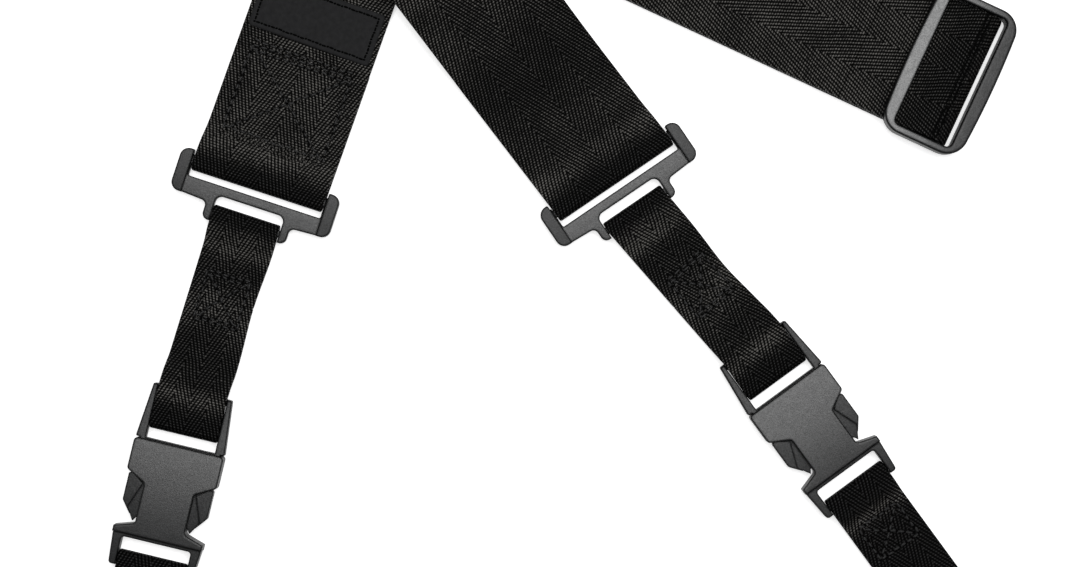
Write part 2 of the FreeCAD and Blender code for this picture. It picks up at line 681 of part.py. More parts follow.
def run(first, last, moves, height, thick):
    """A run between two end lines, each the middle and half the width as a vector."""
    start, half_start = first
    end, half_end = last
    along = end - start
    left = Vector(-along.y, along.x, 0)
    half_start = half_start if half_start.dot(left) > 0 else half_start * -1
    half_end = half_end if half_end.dot(left) > 0 else half_end * -1
    spare = max(abs(half_start.dot(along)), abs(half_end.dot(along))) / along.Length + 1
    reach = max(half_start.Length, half_end.Length) * 2 + 2
    rest = along.Length - advance(moves)
    path = go(spare) + moves + go(rest + spare)
    slab = ribbon((-spare, size(height).value, 0), path, thick, reach)
    slab = placed(slab, start, math.degrees(math.atan2(along.y, along.x)))
    corners = [start + half_start, end + half_end, end - half_end, start - half_start]
    corners = [Vector(c.x, c.y, -20) for c in corners]
    prism = Part.Face(Part.makePolygon(corners + corners[:1])).extrude(Vector(0, 0, 60))
    return slab.common(prism)


def roll(middle, axis, incoming, low, high, width, thick):
    """A flat fold: half a turn round a level axis that lies askew to the webbing.

    Gives the solid and its upper end line. The webbing creeps along the axis as it turns.
    """
    low, high, width, thick = (size(number).value for number in (low, high, width, thick))
    cosine = incoming.dot(axis)
    sine = math.sqrt(1 - cosine ** 2)
    creep = axis * (math.pi * (high - low) / 2 * cosine / sine)
    half = width / 2 / sine
    outward = Vector(-axis.y, axis.x, 0)
    along = axis
    if outward.dot(incoming) < 0:
        outward, along = outward * -1, axis * -1
    cylinder = Part.Cylinder()
    cylinder.Radius = (high - low - thick) / 2
    shift = creep.dot(along)
    corners = [(0, -half), (math.pi, shift - half), (math.pi, shift + half), (0, half)]
    edges = []
    for a, b in zip(corners, corners[1:] + corners[:1]):
        line = Part.Geom2d.Line2dSegment(Base.Vector2d(*a), Base.Vector2d(*b))
        edges.append(line.toShape(cylinder))
    face = Part.Face(cylinder, Part.Wire(edges))
    face.validate()
    solid = face.makeOffsetShape(thick, 1e-4, fill=True)
    down = Vector(0, 0, -1)
    turn = Matrix(
        down.x, outward.x, along.x, middle.x,
        down.y, outward.y, along.y, middle.y,
        down.z, outward.z, along.z, (low + high) / 2,
        0, 0, 0, 1)
    solid.Placement = Placement(turn)
    return solid, (middle + creep, axis * half)


def creep_of(axis, incoming, low, high):
    cosine = incoming.dot(axis)
    rise = size(high).value - size(low).value
    return axis * (math.pi * rise / 2 * cosine / math.sqrt(1 - cosine ** 2))


def meet(p, u, q, v):
    """Where the level line through p along u crosses the one through q along v."""
    gap = q - p
    return p + u * ((gap.x * v.y - gap.y * v.x) / (u.x * v.y - u.y * v.x))


def webbing(name, parts):
    solid = parts[0].fuse(parts[1:]) if len(parts) > 1 else parts[0]
    solid = solid.removeSplitter()
    if len(solid.Solids) != 1:
        raise RuntimeError(f"{name}: {len(solid.Solids)} solids")
    feature = doc.addObject("Part::Feature", name)
    feature.Shape = solid.Solids[0]
    return keep(feature, name)


class Chain:
    """Where the pieces of one side lie; `lean` is 1 on the left and -1 on the right."""

    def __init__(self, side, lean):
        turn = {k: getattr(S, f"{side}_{k}_turn").value for k in ("loop", "leg", "link", "buckle")}
        self.name = side
        self.down = {k: -90 - lean * v for k, v in turn.items()}
        self.bar = Vector(getattr(S, f"{side}_bar_x").value, getattr(S, f"{side}_bar_y").value, 0)
        self.lower_bar = self.bar + unit(self.down["loop"]) * lower_bar_y.value
        self.male_bar = self.lower_bar + unit(self.down["link"]) * S.link_length.value
        self.mouth = self.male_bar - unit(self.down["buckle"]) * middle_bar_y.value
        self.end_bar = self.mouth + unit(self.down["buckle"]) * end_bar_y.value
        self.eyelet = self.end_bar + unit(self.down["buckle"]) * (S.tab_length - S.eyelet_inset).value
        self.up_leg = unit(self.down["leg"] + 180)

    def frame(self, point, kind, height):
        """Placement of a piece drawn with Y down the strap."""
        return Placement(Vector(point.x, point.y, size(height).value),
                         Rotation(Vector(0, 0, 1), self.down[kind] - 90))

    def across(self, kind, width):
        return unit(self.down[kind] - 90) * (size(width).value / 2)


LEFT, RIGHT = Chain("left", 1), Chain("right", -1)
glide = Vector(S.glide_x.value, S.glide_y.value, 0)
run_angle = -S.upper_run_turn.value
glide_way = unit(run_angle)
glide_across = unit(run_angle + 90) * (S.wide_width.value / 2)
GLIDE = Placement(glide, Rotation(Vector(0, 0, 1), run_angle - 90))
slack_line = (glide - glide_way * S.slack_start.value, glide_across)

# Fold over the left leg's top: layer 2 turns into layer 4.
left_leg = 90 - S.left_leg_turn.value
fold_a = unit((left_leg + run_angle) / 2)
creep_a = creep_of(fold_a, LEFT.up_leg, level(2), level(4))
corner_a = meet(LEFT.bar, LEFT.up_leg, glide - creep_a, glide_way)

# Fold of the doubled webbing over all the others: layers 0 and 1 turn into layers 6 and 5.
fold_b = unit((180 + run_angle + RIGHT.down["leg"]) / 2)
creeps_b = [creep_of(fold_b, glide_way * -1, level(n), level(6 - n)) for n in (0, 1)]
mean_b = (creeps_b[0] + creeps_b[1]) * 0.5
corner_b = meet(RIGHT.bar, RIGHT.up_leg, glide + mean_b, glide_way) - mean_b


def left_main():
    down = step(level(1) - loop_z - wide_middle, S.turn_bend, S.turn_bend)
    climb = step(wide_pitch, S.cross_bend, S.cross_bend)
    bar_line = (LEFT.bar, LEFT.across("loop", S.wide_width))
    tail = (LEFT.bar + LEFT.up_leg * S.sewn_tail.value, LEFT.across("leg", S.wide_width))
    turn = half_turn(LEFT.bar, LEFT.down["loop"], loop_z, wide_middle, S.wide_thick, S.wide_width)
    under = run(bar_line, tail, [], level(0), S.wide_thick)
    cosine = LEFT.up_leg.dot(fold_a)
    fold_line = (corner_a, fold_a * (S.wide_width.value / 2 / math.sqrt(1 - cosine ** 2)))
    start = go(S.turn_flat) + down
    moves = start + go(S.climb_start.value - advance(start)) + climb
    leg = run(bar_line, fold_line, moves, loop_z + wide_middle, S.wide_thick)
    fold, upper = roll(corner_a, fold_a, LEFT.up_leg, level(2), level(4), S.wide_width, S.wide_thick)
    fall = go(S.fall_start) + step(level(2) - level(4), S.cross_bend, S.cross_bend)
    over = run(upper, slack_line, fall, level(4), S.wide_thick)
    webbing("main_webbing_left", [under, turn, leg, fold, over])


def right_main():
    bar_line = (RIGHT.bar, RIGHT.across("loop", S.wide_width))
    turn = half_turn(RIGHT.bar, RIGHT.down["loop"], loop_z, wide_middle, S.wide_thick, S.wide_width)
    cosine = glide_way.dot(fold_b)
    half = fold_b * (S.wide_width.value / 2 / math.sqrt(1 - cosine ** 2))
    parts = [turn]
    for number in (0, 1):
        start = corner_b + (mean_b - creeps_b[number]) * 0.5
        flat = run(slack_line, (start, half), [], level(number), S.wide_thick)
        fold, upper = roll(start, fold_b, glide_way * -1, level(number), level(6 - number),
                           S.wide_width, S.wide_thick)
        rise = level(5) - level(0)
        if number == 1:
            height = loop_z - wide_middle
            moves = go(S.drape_start) + step(rise, S.drape_bend, S.drape_bend)
        else:
            height = loop_z + wide_middle
            moves = go(S.turn_flat) + step(level(1) - height, S.turn_bend, S.turn_bend)
            moves = moves + go(S.drape_start.value - advance(moves))
            moves = moves + step(rise, S.drape_bend - wide_pitch, S.drape_bend + wide_pitch)
        leg = run(bar_line, upper, moves, height, S.wide_thick)
        parts = parts + [flat, fold, leg]
    webbing("main_webbing_right", parts)


def slack():
    """The stretches that give way when the tri-glide slides."""
    lift = S.slack_start - S.step_start
    over = go(lift) + step(wide_pitch, S.step_bend - wide_pitch, S.step_bend + wide_pitch)
    under = go(lift) + step(wide_pitch, S.step_bend, S.step_bend)
    length = (S.slack_start - S.slack_end).value
    for name, number, moves in (("upper_slack_webbing", 2, over), ("end_slack_webbing", 1, under),
                                ("lower_slack_webbing", 0, [])):
        moves = moves + go(length - advance(moves))
        shape = ribbon((0, level(number).value, 0), moves, S.wide_thick, S.wide_width)
        webbing(name, [placed(shape, slack_line[0], run_angle)])


def glide_webbing():
    """Both layers over the middle bar: the running one outside, the sewn end inside."""
    rise = glide_bar_z + wide_middle - level(2)
    flat = 0.3
    for name, number, bends, tail in (
            ("slider_turn_webbing", 3, (S.glide_bend - wide_pitch / 2, S.glide_bend + wide_pitch / 2),
             S.slack_end + S.middle_bar_offset),
            ("slider_end_loop", 2, (S.glide_bend + wide_pitch / 2, S.glide_bend - wide_pitch / 2),
             S.sewn_end_tail)):
        lift = step(rise, *bends)
        before = (S.slack_end + S.middle_bar_offset).value - advance(lift) - flat
        radius = wide_middle + wide_pitch * (number - 2)
        moves = go(before) + lift + go(flat) + bend(radius, -180) + go(tail)
        shape = ribbon((0, level(number).value, 0), moves, S.wide_thick, S.wide_width)
        webbing(name, [placed(shape, glide - glide_way * S.slack_end.value, run_angle)])


def link(chain):
    """Narrow loop from the reducing loop to the male half, its ends butted underneath.

    It lies in line with the buckle where it runs over the round end bar, and turns slightly
    towards the reducing loop at its knee.
    """
    first = (chain.lower_bar, chain.across("loop", S.narrow_width))
    last = (chain.male_bar, chain.across("buckle", S.narrow_width))
    low, high = loop_z - small_middle, loop_z + small_middle
    rest_low = buckle_z - S.end_bar_drop + S.end_bar_radius + S.bar_rest_play + S.narrow_thick / 2
    rise = rest_low - low
    climb = step(rise, S.small_bend, S.small_bend)
    climb_over = step(rise, S.small_bend - small_pitch, S.small_bend + small_pitch)
    straight = end_bar_back + middle_bar_y + S.bar_rest / 2
    knee = (chain.male_bar - unit(chain.down["buckle"]) * straight.value, last[1])
    onto_bar = step(buckle_z + small_middle - rest_low - small_pitch, S.small_bend, S.small_bend)
    into_slot = step(buckle_z - small_middle - rest_low, S.dip_bend, S.dip_bend)
    settle = go(S.link_flat) + step(low + small_pitch - high, S.small_bend, S.small_bend)
    way = knee[0] - chain.lower_bar
    length = way.Length
    way.normalize()
    seam, gap = length / 2, S.link_seam_gap.value / 2
    lead = S.link_lead.value
    over = settle + go(length - lead - advance(settle + climb_over)) + climb_over
    under = go(length - lead - seam - gap - advance(climb)) + climb
    cut = Vector(-way.y, way.x, 0) * (S.narrow_width.value / 2)
    parts = [
        half_turn(chain.lower_bar, chain.down["loop"] + 180, loop_z, small_middle,
                  S.narrow_thick, S.narrow_width),
        half_turn(chain.male_bar, chain.down["buckle"], buckle_z, small_middle,
                  S.narrow_thick, S.narrow_width),
        run(first, knee, over, high, S.narrow_thick),
        run(knee, last, go(S.bar_rest) + onto_bar, rest_low + small_pitch, S.narrow_thick),
        run(first, (chain.lower_bar + way * (seam - gap), cut), [], low, S.narrow_thick),
        run((chain.lower_bar + way * (seam + gap), cut), knee, under, low, S.narrow_thick),
        run(knee, last, go(S.bar_rest) + into_slot, rest_low, S.narrow_thick)]
    webbing(f"{chain.name}_link_webbing", parts)


def tab(chain):
    """Doubled narrow webbing round the female half's bar, with the hole for the eyelet."""
    low, high = buckle_z - small_middle, buckle_z + small_middle
    fall = go(S.link_flat) + step(low + small_pitch - high, S.small_bend, S.small_bend)
    moves = go(S.tab_length) + bend(small_middle, -180) + fall
    moves = moves + go(S.tab_length.value - advance(fall))
    shape = ribbon((S.tab_length.value, low.value, 180), moves, S.narrow_thick, S.narrow_width)
    ends = [e for e in shape.Edges if e.BoundBox.ZLength > 0.5 * S.narrow_thick.value
            and e.BoundBox.XLength + e.BoundBox.YLength < 1e-3 and e.BoundBox.XMin > S.tab_length.value - 0.01]
    shape = shape.makeFillet(S.tab_radius.value, ends)
    radius = (S.eyelet_bore + S.eyelet_wall + S.eyelet_play).value
    hole = Part.makeCylinder(radius, 20, Vector((S.tab_length - S.eyelet_inset).value, 0, -5))
    webbing(f"{chain.name}_guitar_tab", [placed(shape.cut(hole), chain.end_bar, chain.down["buckle"])])


def revolved(name, rings, where):
    """A turned piece from its half section, each corner (radius, height)."""
    body = doc.addObject("PartDesign::Body", name)
    keep(body, name)
    sketch = body.newObject("Sketcher::SketchObject", "section")
    sketch.AttachmentSupport = [(origin_plane(body, "XZ_Plane"), "")]
    sketch.MapMode = "FlatFace"
    Moulding.draw(Shaper(), sketch, rings)
    turn = body.newObject("PartDesign::Revolution", "turn")
    turn.Profile = sketch
    turn.ReferenceAxis = (sketch, ["V_Axis"])
    turn.Angle = 360
    sketch.Visibility = False
    body.Placement = where
    doc.recompute()


class Shaper:
    """Lends the outline's drawing to turned pieces."""
    ends = Moulding.ends


def eyelet(chain):
    """Brass eyelet through the tab, rolled out over a washer underneath."""
    under = buckle_z - small_outer
    top = buckle_z - small_middle + small_pitch + S.narrow_thick / 2
    bore, barrel = S.eyelet_bore, S.eyelet_bore + S.eyelet_wall
    rim = under - S.washer_thick
    where = chain.frame(chain.eyelet, "buckle", 0)
    revolved(f"{chain.name}_eyelet", [
        (bore, S.floor_gap), (barrel + S.eyelet_curl, S.floor_gap), (barrel + S.eyelet_curl, rim),
        (barrel, rim), (barrel, top), (S.eyelet_flange, top),
        (S.eyelet_flange, top + S.eyelet_dome / 3), (S.eyelet_flange - 1.2, top + S.eyelet_dome),
        (bore + 0.5, top + S.eyelet_dome), (bore, top + S.eyelet_dome / 2)], where)
    inner = barrel + S.eyelet_play
    revolved(f"{chain.name}_eyelet_washer", [
        (inner, rim), (S.eyelet_flange, rim), (S.eyelet_flange, under), (inner, under)], where)


left_main()
right_main()
slack()
glide_webbing()
label_line = LEFT.bar + LEFT.up_leg * (S.label_start + S.label_height / 2).value
label_z = level(1) + S.wide_thick / 2 + S.label_thick / 2
label_patch("label_patch", LEFT.frame(label_line, "leg", label_z))
tri_glide("tri_glide", GLIDE)
for chain in (LEFT, RIGHT):
    side = chain.name
    reducing_loop(f"{side}_reducing_loop", chain.frame(chain.bar, "loop", loop_z))
    link(chain)
    buckle = chain.frame(chain.mouth, "buckle", buckle_z)
    male_half(f"{side}_buckle_male", buckle)
    prong(f"{side}_buckle_prong_a", 1, buckle)
    prong(f"{side}_buckle_prong_b", -1, buckle)
    female_half(f"{side}_buckle_female", buckle)
    tab(chain)
    eyelet(chain)
doc.recompute()

# The whole layout is moved so that its box stands centred on the origin.
whole = pieces[0].Shape.BoundBox
for piece in pieces[1:]:
    whole.add(piece.Shape.BoundBox)
shift = Vector(-whole.Center.x, -whole.Center.y, -whole.ZMin)
for piece in pieces:
    where = piece.Placement
    where.Base = where.Base + shift
    piece.Placement = where
doc.recompute()

os.makedirs("parts", exist_ok=True)
for piece in pieces:
    if any(state in ("Invalid", "Error") for state in piece.State):
        raise RuntimeError(f"{piece.Label}: {piece.State}")
    if piece.Shape.isNull() or not piece.Shape.isValid():
        raise RuntimeError(f"{piece.Label}: bad shape")
    if len(piece.Shape.Solids) != 1:
        raise RuntimeError(f"{piece.Label}: {len(piece.Shape.Solids)} solids")
    piece.Shape.exportStep(f"parts/{piece.Label}.step")
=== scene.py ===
import json
import math
from collections import namedtuple

import bmesh
import bpy
import numpy as np
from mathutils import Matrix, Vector

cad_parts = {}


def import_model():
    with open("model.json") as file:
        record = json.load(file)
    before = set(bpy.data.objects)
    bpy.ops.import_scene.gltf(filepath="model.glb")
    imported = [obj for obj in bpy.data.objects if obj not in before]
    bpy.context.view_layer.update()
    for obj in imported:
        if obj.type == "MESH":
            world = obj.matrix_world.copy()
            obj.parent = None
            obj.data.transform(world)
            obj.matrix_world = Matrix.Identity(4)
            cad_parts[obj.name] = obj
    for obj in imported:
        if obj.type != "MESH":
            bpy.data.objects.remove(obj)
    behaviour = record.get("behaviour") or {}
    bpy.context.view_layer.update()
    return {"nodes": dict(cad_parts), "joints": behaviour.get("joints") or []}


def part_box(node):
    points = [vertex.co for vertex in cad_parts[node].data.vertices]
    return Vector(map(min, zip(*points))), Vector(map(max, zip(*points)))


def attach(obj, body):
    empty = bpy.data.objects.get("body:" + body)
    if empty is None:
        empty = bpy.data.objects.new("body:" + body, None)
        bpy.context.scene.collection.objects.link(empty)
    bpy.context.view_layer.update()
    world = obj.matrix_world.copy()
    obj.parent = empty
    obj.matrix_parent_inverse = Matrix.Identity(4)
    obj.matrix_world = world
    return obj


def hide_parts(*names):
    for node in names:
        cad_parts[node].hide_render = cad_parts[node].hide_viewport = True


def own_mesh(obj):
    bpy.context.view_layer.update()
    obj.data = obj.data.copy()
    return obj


# Looks of the guitar strap. Sizes are in millimetres until a mesh is made.

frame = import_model()
MM = 0.001

# Webbing, wide for the strap and narrow for its links and tabs.
WIDE, WIDE_THICK = 50.5, 1.6
NARROW, NARROW_THICK = 25.7, 1.4
LAYER_GAP = 0.1  # between two layers
LOOP_PLAY = 0.23  # between webbing and its bar
BAR_ROUNDING = 0.6  # of the edges of every bar
WIDE_BAR, NARROW_BAR = (1.0, 0.6), (0.8, 0.5)  # half a bar's section inside its rounding

# Main webbing. A run is level but for steps, each made of two bends.
LEFT_LEG_TURN, RIGHT_LEG_TURN = 19.6, 37.4  # lean of the legs, in degrees
SEWN_TAIL = 50  # sewn end below the left leg
TURN_FLAT, TURN_BEND = 4, 12  # level part and bend next to a reducing loop
CLIMB_START, CROSS_BEND, FALL_START = 80, 60, 34  # where layers cross at the upper left
DRAPE_START, DRAPE_BEND = 44, 70  # where the right leg rises towards its fold
STEP_START, STEP_BEND = 47, 20  # where the layers part before the tri-glide
SLACK_START, SLACK_END = 120, 33  # stretch that gives way, from the tri-glide
GLIDE_BEND, MIDDLE_BAR, SEWN_END = 11, 4.7, 34  # turn round the tri-glide's middle bar
LEG_BOX, LEG_BOX_PLACE, LEG_ROW_GAP = (39, 33.5), 30.5, 1.7
SLIDER_SEAMS, SLIDER_SEAM_INSET = (3.6, 5.2), 1

# Links and guitar tabs.
LINK_LEAD, LINK_FLAT, LINK_GAP = 2, 3, 0.6  # level parts at the bars, gap between the ends
LINK_SEAM = {"left": 29.6, "right": 36.0}  # seam's middle, from the reducing loop's bar
LINK_PINCH = {"left": 0.040, "right": 0.050}  # share of the width that the seam takes
LINK_NECK = 0.012  # share that the reducing loop takes
PINCH_REACH, NECK_REACH = 15, 6
LINK_BOX, LINK_BOX_INNER = (16.5, 18.5), (16.5, 15.5)
MOUTH = 4.2  # from the webbing's turn to the housing
SMALL_BEND, DIP_BEND = 8, 4  # radii of the links' steps
BAR_REST, BAR_REST_PLAY = 4, 0.2  # level part over the male half's end bar
END_BAR_RADIUS, END_BAR_DROP, END_BAR_BACK = 1.3, 1.6, 19.5
TAB_LENGTH, TAB_RADIUS = 75, 5  # bar to end, and rounding of the end's corners
EYELET_INSET, TAB_HOLE = 13, 3.35  # eyelet's middle from the end, hole's radius
TAB_BOX, TAB_BOX_PLACE, TAB_CROSS_INSET = (17, 14), 20, 1.4
TAB_ROWS, TAB_ROW_HALF = (10.5, 8.5), 9  # rows before the eyelet, half a row's length

# Painted shade on yarns at a bar, and painted sheen a little way off.
BAR_SHADE, BAR_SHADE_REACH = 0.72, 4.6
BEND_SHEEN, BEND_SHEEN_PLACE, BEND_SHEEN_REACH = 0.42, 11, 3.6

# Sewing.
CROSS_INSET = 1.5  # between a box of stitches and its cross
PULL, PULL_REACH = 0.30, 1.2  # depth and reach of a seam's dent
CRUSH_REACH = 1.0  # of crushed yarns round a seam
HOLE_DEPTH = 0.4

# Label.
LABEL_SIZE, LABEL_CORNER = (47.0, 20.0), 1.5
LABEL_CELLS, LABEL_CROWDING = (60, 26), 1.25  # mesh cells, closer at the edges
LABEL_SEAM, LABEL_DIP, LABEL_DIP_REACH = 2.0, 0.16, 0.7
LABEL_SOFT, LABEL_DROP = 0.7, 0.35  # width and depth of the rounded edge

# Mouldings.
EDGE_ROUND = 1.0  # rounding that the shading gives to edges
EAR_LEVEL = 5.25  # height from which a loop's ears are duller
LOOP_DOME, HOUSING_DOME, GLIDE_DOME = 0.010, 0.0065, 0.006  # slopes per mm
LOOP_MIDDLE, HOUSING_MIDDLE = 3, 16  # from the loop's bar, and from the housing's rim
GLIDE_SHINE = (1.6, 0.62)  # near end and far end

# Surroundings, in metres, but for the floor's level and the sensor.
FLOOR, FLOOR_SIZE = -0.3, 6
VIEW_WIDTH = 0.3985
VIEW_CENTRE = (-0.00149, -0.01508)
DISTANCE, CAMERA_LIFT = 0.85, 0.004
SENSOR = 36
LAMP_PLACE, LAMP_SIZE, LAMP_POWER, SKY_LEVEL = (0.15, 0.30, 1.25), (1.2, 1.0), 19, 0.12


def turn_radius(bar):
    """Inner radius of webbing round a bar with rounded edges."""
    return math.hypot(*bar) + BAR_ROUNDING + LOOP_PLAY


wide_turn, small_turn = turn_radius(WIDE_BAR), turn_radius(NARROW_BAR)
wide_middle = wide_turn + WIDE_THICK / 2
small_middle = small_turn + NARROW_THICK / 2
small_outer = small_turn + NARROW_THICK
wide_pitch = WIDE_THICK + LAYER_GAP
small_pitch = NARROW_THICK + LAYER_GAP


def level(number):
    """Height of the middle of layer `number` of the main webbing."""
    return WIDE_THICK / 2 + wide_pitch * number


def unit(degrees):
    return Vector((math.cos(math.radians(degrees)), math.sin(math.radians(degrees)), 0))


def left_of(way):
    return Vector((-way.y, way.x, 0))


def aside(way, width):
    """Half the webbing's width, square to its way."""
    return left_of(way) * (width / 2)


UP = np.array((0, 0, 1))


def bell(distance, spread):
    return np.exp(-(distance / spread) ** 2)


# WHERE THINGS LIE

joints = {j["name"]: j for j in frame["joints"]}


def place(name):
    """A joint's place in plan, and its height."""
    x, y, z = (n / MM for n in joints[name]["pos_m"])
    return Vector((x, y, 0)), z


def down_of(name):
    """The direction down the strap at a hinge that lifts the piece below it."""
    return left_of(Vector(joints[name]["axis"]))


def middle_of(node):
    """The middle of a node's box in plan, and its bottom and top."""
    low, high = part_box(node)
    middle = (low + high) / 2 / MM
    middle.z = 0
    return middle, low.z / MM, high.z / MM


class Chain:
    """One side of the strap; `lean` is 1 on the left and -1 on the right."""

    def __init__(self, side, lean, leg_turn):
        self.name = side
        self.bar, self.loop_z = place(f"{side}_loop_hinge")
        self.lower_bar, _ = place(f"{side}_link_hinge")
        self.male_bar, self.buckle_z = place(f"{side}_buckle_hinge")
        self.end_bar, _ = place(f"{side}_tab_hinge")
        self.loop_way = down_of(f"{side}_loop_hinge")
        self.buckle_way = down_of(f"{side}_buckle_hinge")
        self.up_leg = unit(90 - lean * leg_turn)


LEFT, RIGHT = Chain("left", 1, LEFT_LEG_TURN), Chain("right", -1, RIGHT_LEG_TURN)
loop_z, buckle_z = LEFT.loop_z, LEFT.buckle_z
glide_way = Vector(joints["tri_glide_slide"]["axis"]) * -1
run_angle = math.degrees(math.atan2(glide_way.y, glide_way.x))
glide, _, _ = middle_of("tri_glide")
glide_bar_z = wide_turn + WIDE_THICK + wide_pitch
slack_foot = glide - glide_way * SLACK_START
slack_head = glide - glide_way * SLACK_END
slack_length = SLACK_START - SLACK_END


def creep_of(axis, incoming, low, high):
    """How far webbing creeps along an axis that it folds over askew."""
    cosine = incoming.dot(axis)
    return axis * (math.pi * (high - low) / 2 * cosine / math.sqrt(1 - cosine ** 2))


def fold_half(axis, incoming):
    """Half the line across the webbing along a fold's axis."""
    return axis * (WIDE / 2 / math.sqrt(1 - incoming.dot(axis) ** 2))


def meet(p, u, q, v):
    """Where a line through p along u meets one through q along v, in plan."""
    gap = q - p
    return p + u * ((gap.x * v.y - gap.y * v.x) / (u.x * v.y - u.y * v.x))


slack_line = (slack_foot, aside(glide_way, WIDE))
fold_a = unit((90 - LEFT_LEG_TURN + run_angle) / 2)
creep_a = creep_of(fold_a, LEFT.up_leg, level(2), level(4))
corner_a = meet(LEFT.bar, LEFT.up_leg, glide - creep_a, glide_way)
right_down = math.degrees(math.atan2(-RIGHT.up_leg.y, -RIGHT.up_leg.x))
fold_b = unit((180 + run_angle + right_down) / 2)
creeps_b = [creep_of(fold_b, glide_way * -1, level(n), level(6 - n)) for n in (0, 1)]
mean_b = (creeps_b[0] + creeps_b[1]) / 2
corner_b = meet(RIGHT.bar, RIGHT.up_leg, glide + mean_b, glide_way) - mean_b


# GRIDS OF POINTS ON WEBBING

COARSE = 1.5  # length of a cell on long runs

class Grid:
    """Middle of a stretch: points, outward normals, and (across, along) on the cloth."""

    def __init__(self, points, normals, cloth):
        self.points, self.normals, self.cloth = points, normals, cloth

    def turned(self):
        """The stretch, travelled the other way."""
        flip = (slice(None, None, -1), slice(None, None, -1))
        return Grid(self.points[flip], self.normals[flip], -self.cloth[flip])

    def other_face(self):
        """The stretch, with its other face outward."""
        return Grid(self.points[:, ::-1], -self.normals[:, ::-1], self.cloth)

    def length(self):
        return abs(self.cloth[-1, 0, 1] - self.cloth[0, 0, 1])


def go(length):
    return [("go", length, 0)]


def bend(radius, degrees):
    return [("bend", radius, degrees)]


def step(rise, first, second):
    """Two bends that change the height."""
    turn = math.degrees(math.acos(1 - abs(rise) / (first + second)))
    turn = math.copysign(turn, rise)
    return [("bend", first, turn), ("bend", second, -turn)]


def side_path(moves, pitch):
    """Stations (distance, height, heading in degrees, length) along a side profile."""
    degrees_apart = 12
    stations = [(0.0, 0.0, 0.0, 0.0)]
    for kind, amount, degrees in moves:
        x, z, heading, length = stations[-1]
        if kind == "go":
            count = max(1, math.ceil(amount / pitch))
            way = unit(heading)
            for i in range(1, count + 1):
                part = amount * i / count
                stations.append((x + way.x * part, z + way.y * part, heading, length + part))
        else:
            count = max(3, math.ceil(abs(degrees) / degrees_apart))
            side = math.copysign(90, degrees)
            centre = unit(heading + side) * amount
            for i in range(1, count + 1):
                turn = degrees * i / count
                spoke = unit(heading + side + 180 + turn) * amount
                stations.append((x + centre.x + spoke.x, z + centre.y + spoke.y, heading + turn,
                                 length + amount * math.radians(abs(turn))))
    return np.array(stations)


def advance(moves):
    """How far some moves go along the run."""
    one_piece = 1e3
    return side_path(moves, one_piece)[-1][0]


def columns(width):
    """Places across the webbing, from 1 (left) to -1 (right), closer at its edges."""
    edge = np.array([0, 0.15, 0.4, 0.8, 1.3])
    margin, apart = 2.2, 1.25
    count = max(3, round((width - 2 * margin) / apart))
    inner = np.linspace(margin, width - margin, count)
    spots = np.concatenate([edge, inner, width - edge[::-1]])
    return 1 - 2 * spots / width


def sweep(start, way, height, moves, outer, width, pitch=COARSE):
    """Webbing with a side profile of moves; `outer` is the sign of its outer face."""
    stations = side_path(moves, pitch)
    t = columns(width)
    way, start = np.array(way), np.array(start)
    left = outer * np.cross(UP, way) * (width / 2)
    headings = np.radians(stations[:, 2])
    middle = start + stations[:, :1] * way + (stations[:, 1:2] + height) * UP
    points = middle[:, None] + t[None, :, None] * left
    normal = -np.sin(headings)[:, None] * way + np.cos(headings)[:, None] * UP
    normals = np.repeat(normal[:, None] * outer, len(t), 1)
    across, along = np.meshgrid(t * width / 2, stations[:, 3])
    return Grid(points, normals, np.dstack([across, along]))


def half_turn(point, way, height, middle, width):
    """Half a turn round a bar, from below to above, bulging towards `way`."""
    return sweep(point, way, height - middle, bend(middle, 180), -1, width)


def run(first, last, moves, height, outer, square=(True, True), pitch=1.0):
    """A run between two end lines, each its middle and its half width as a vector.

    `square` tells for each end whether the cloth's pattern meets it squarely.
    """
    (start, half_start), (end, half_end) = first, last
    length = (end - start).length
    way = (end - start) / length
    left = Vector((0, 0, outer)).cross(way)
    half_start, half_end = (h if h.dot(left) > 0 else h * -1 for h in (half_start, half_end))
    width = 2 * half_start.dot(left)
    t = columns(width)
    side = side_path(moves + go(1), 0.5)
    share = np.linspace(0, 1, max(2, math.ceil(length / pitch) + 1))[:, None]
    x = (1 - share) * (t * half_start.dot(way)) + share * (length + t * half_end.dot(way))
    y = np.repeat((t * width / 2)[None, :], len(share), 0)
    z = height + np.interp(x, side[:, 0], side[:, 1])
    heading = np.radians(np.interp(x, side[:, 0], side[:, 2]))[..., None]
    way, left, start = np.array(way), np.array(left), np.array(start)
    points = start + x[..., None] * way + y[..., None] * left
    points[..., 2] = z
    normals = outer * (-np.sin(heading) * way + np.cos(heading) * UP)
    begin = np.zeros_like(t) if square[0] else x[0]
    finish = np.full_like(t, length) if square[1] else x[-1]
    along = (1 - share) * begin + share * finish
    return Grid(points, normals, np.dstack([y, along]))


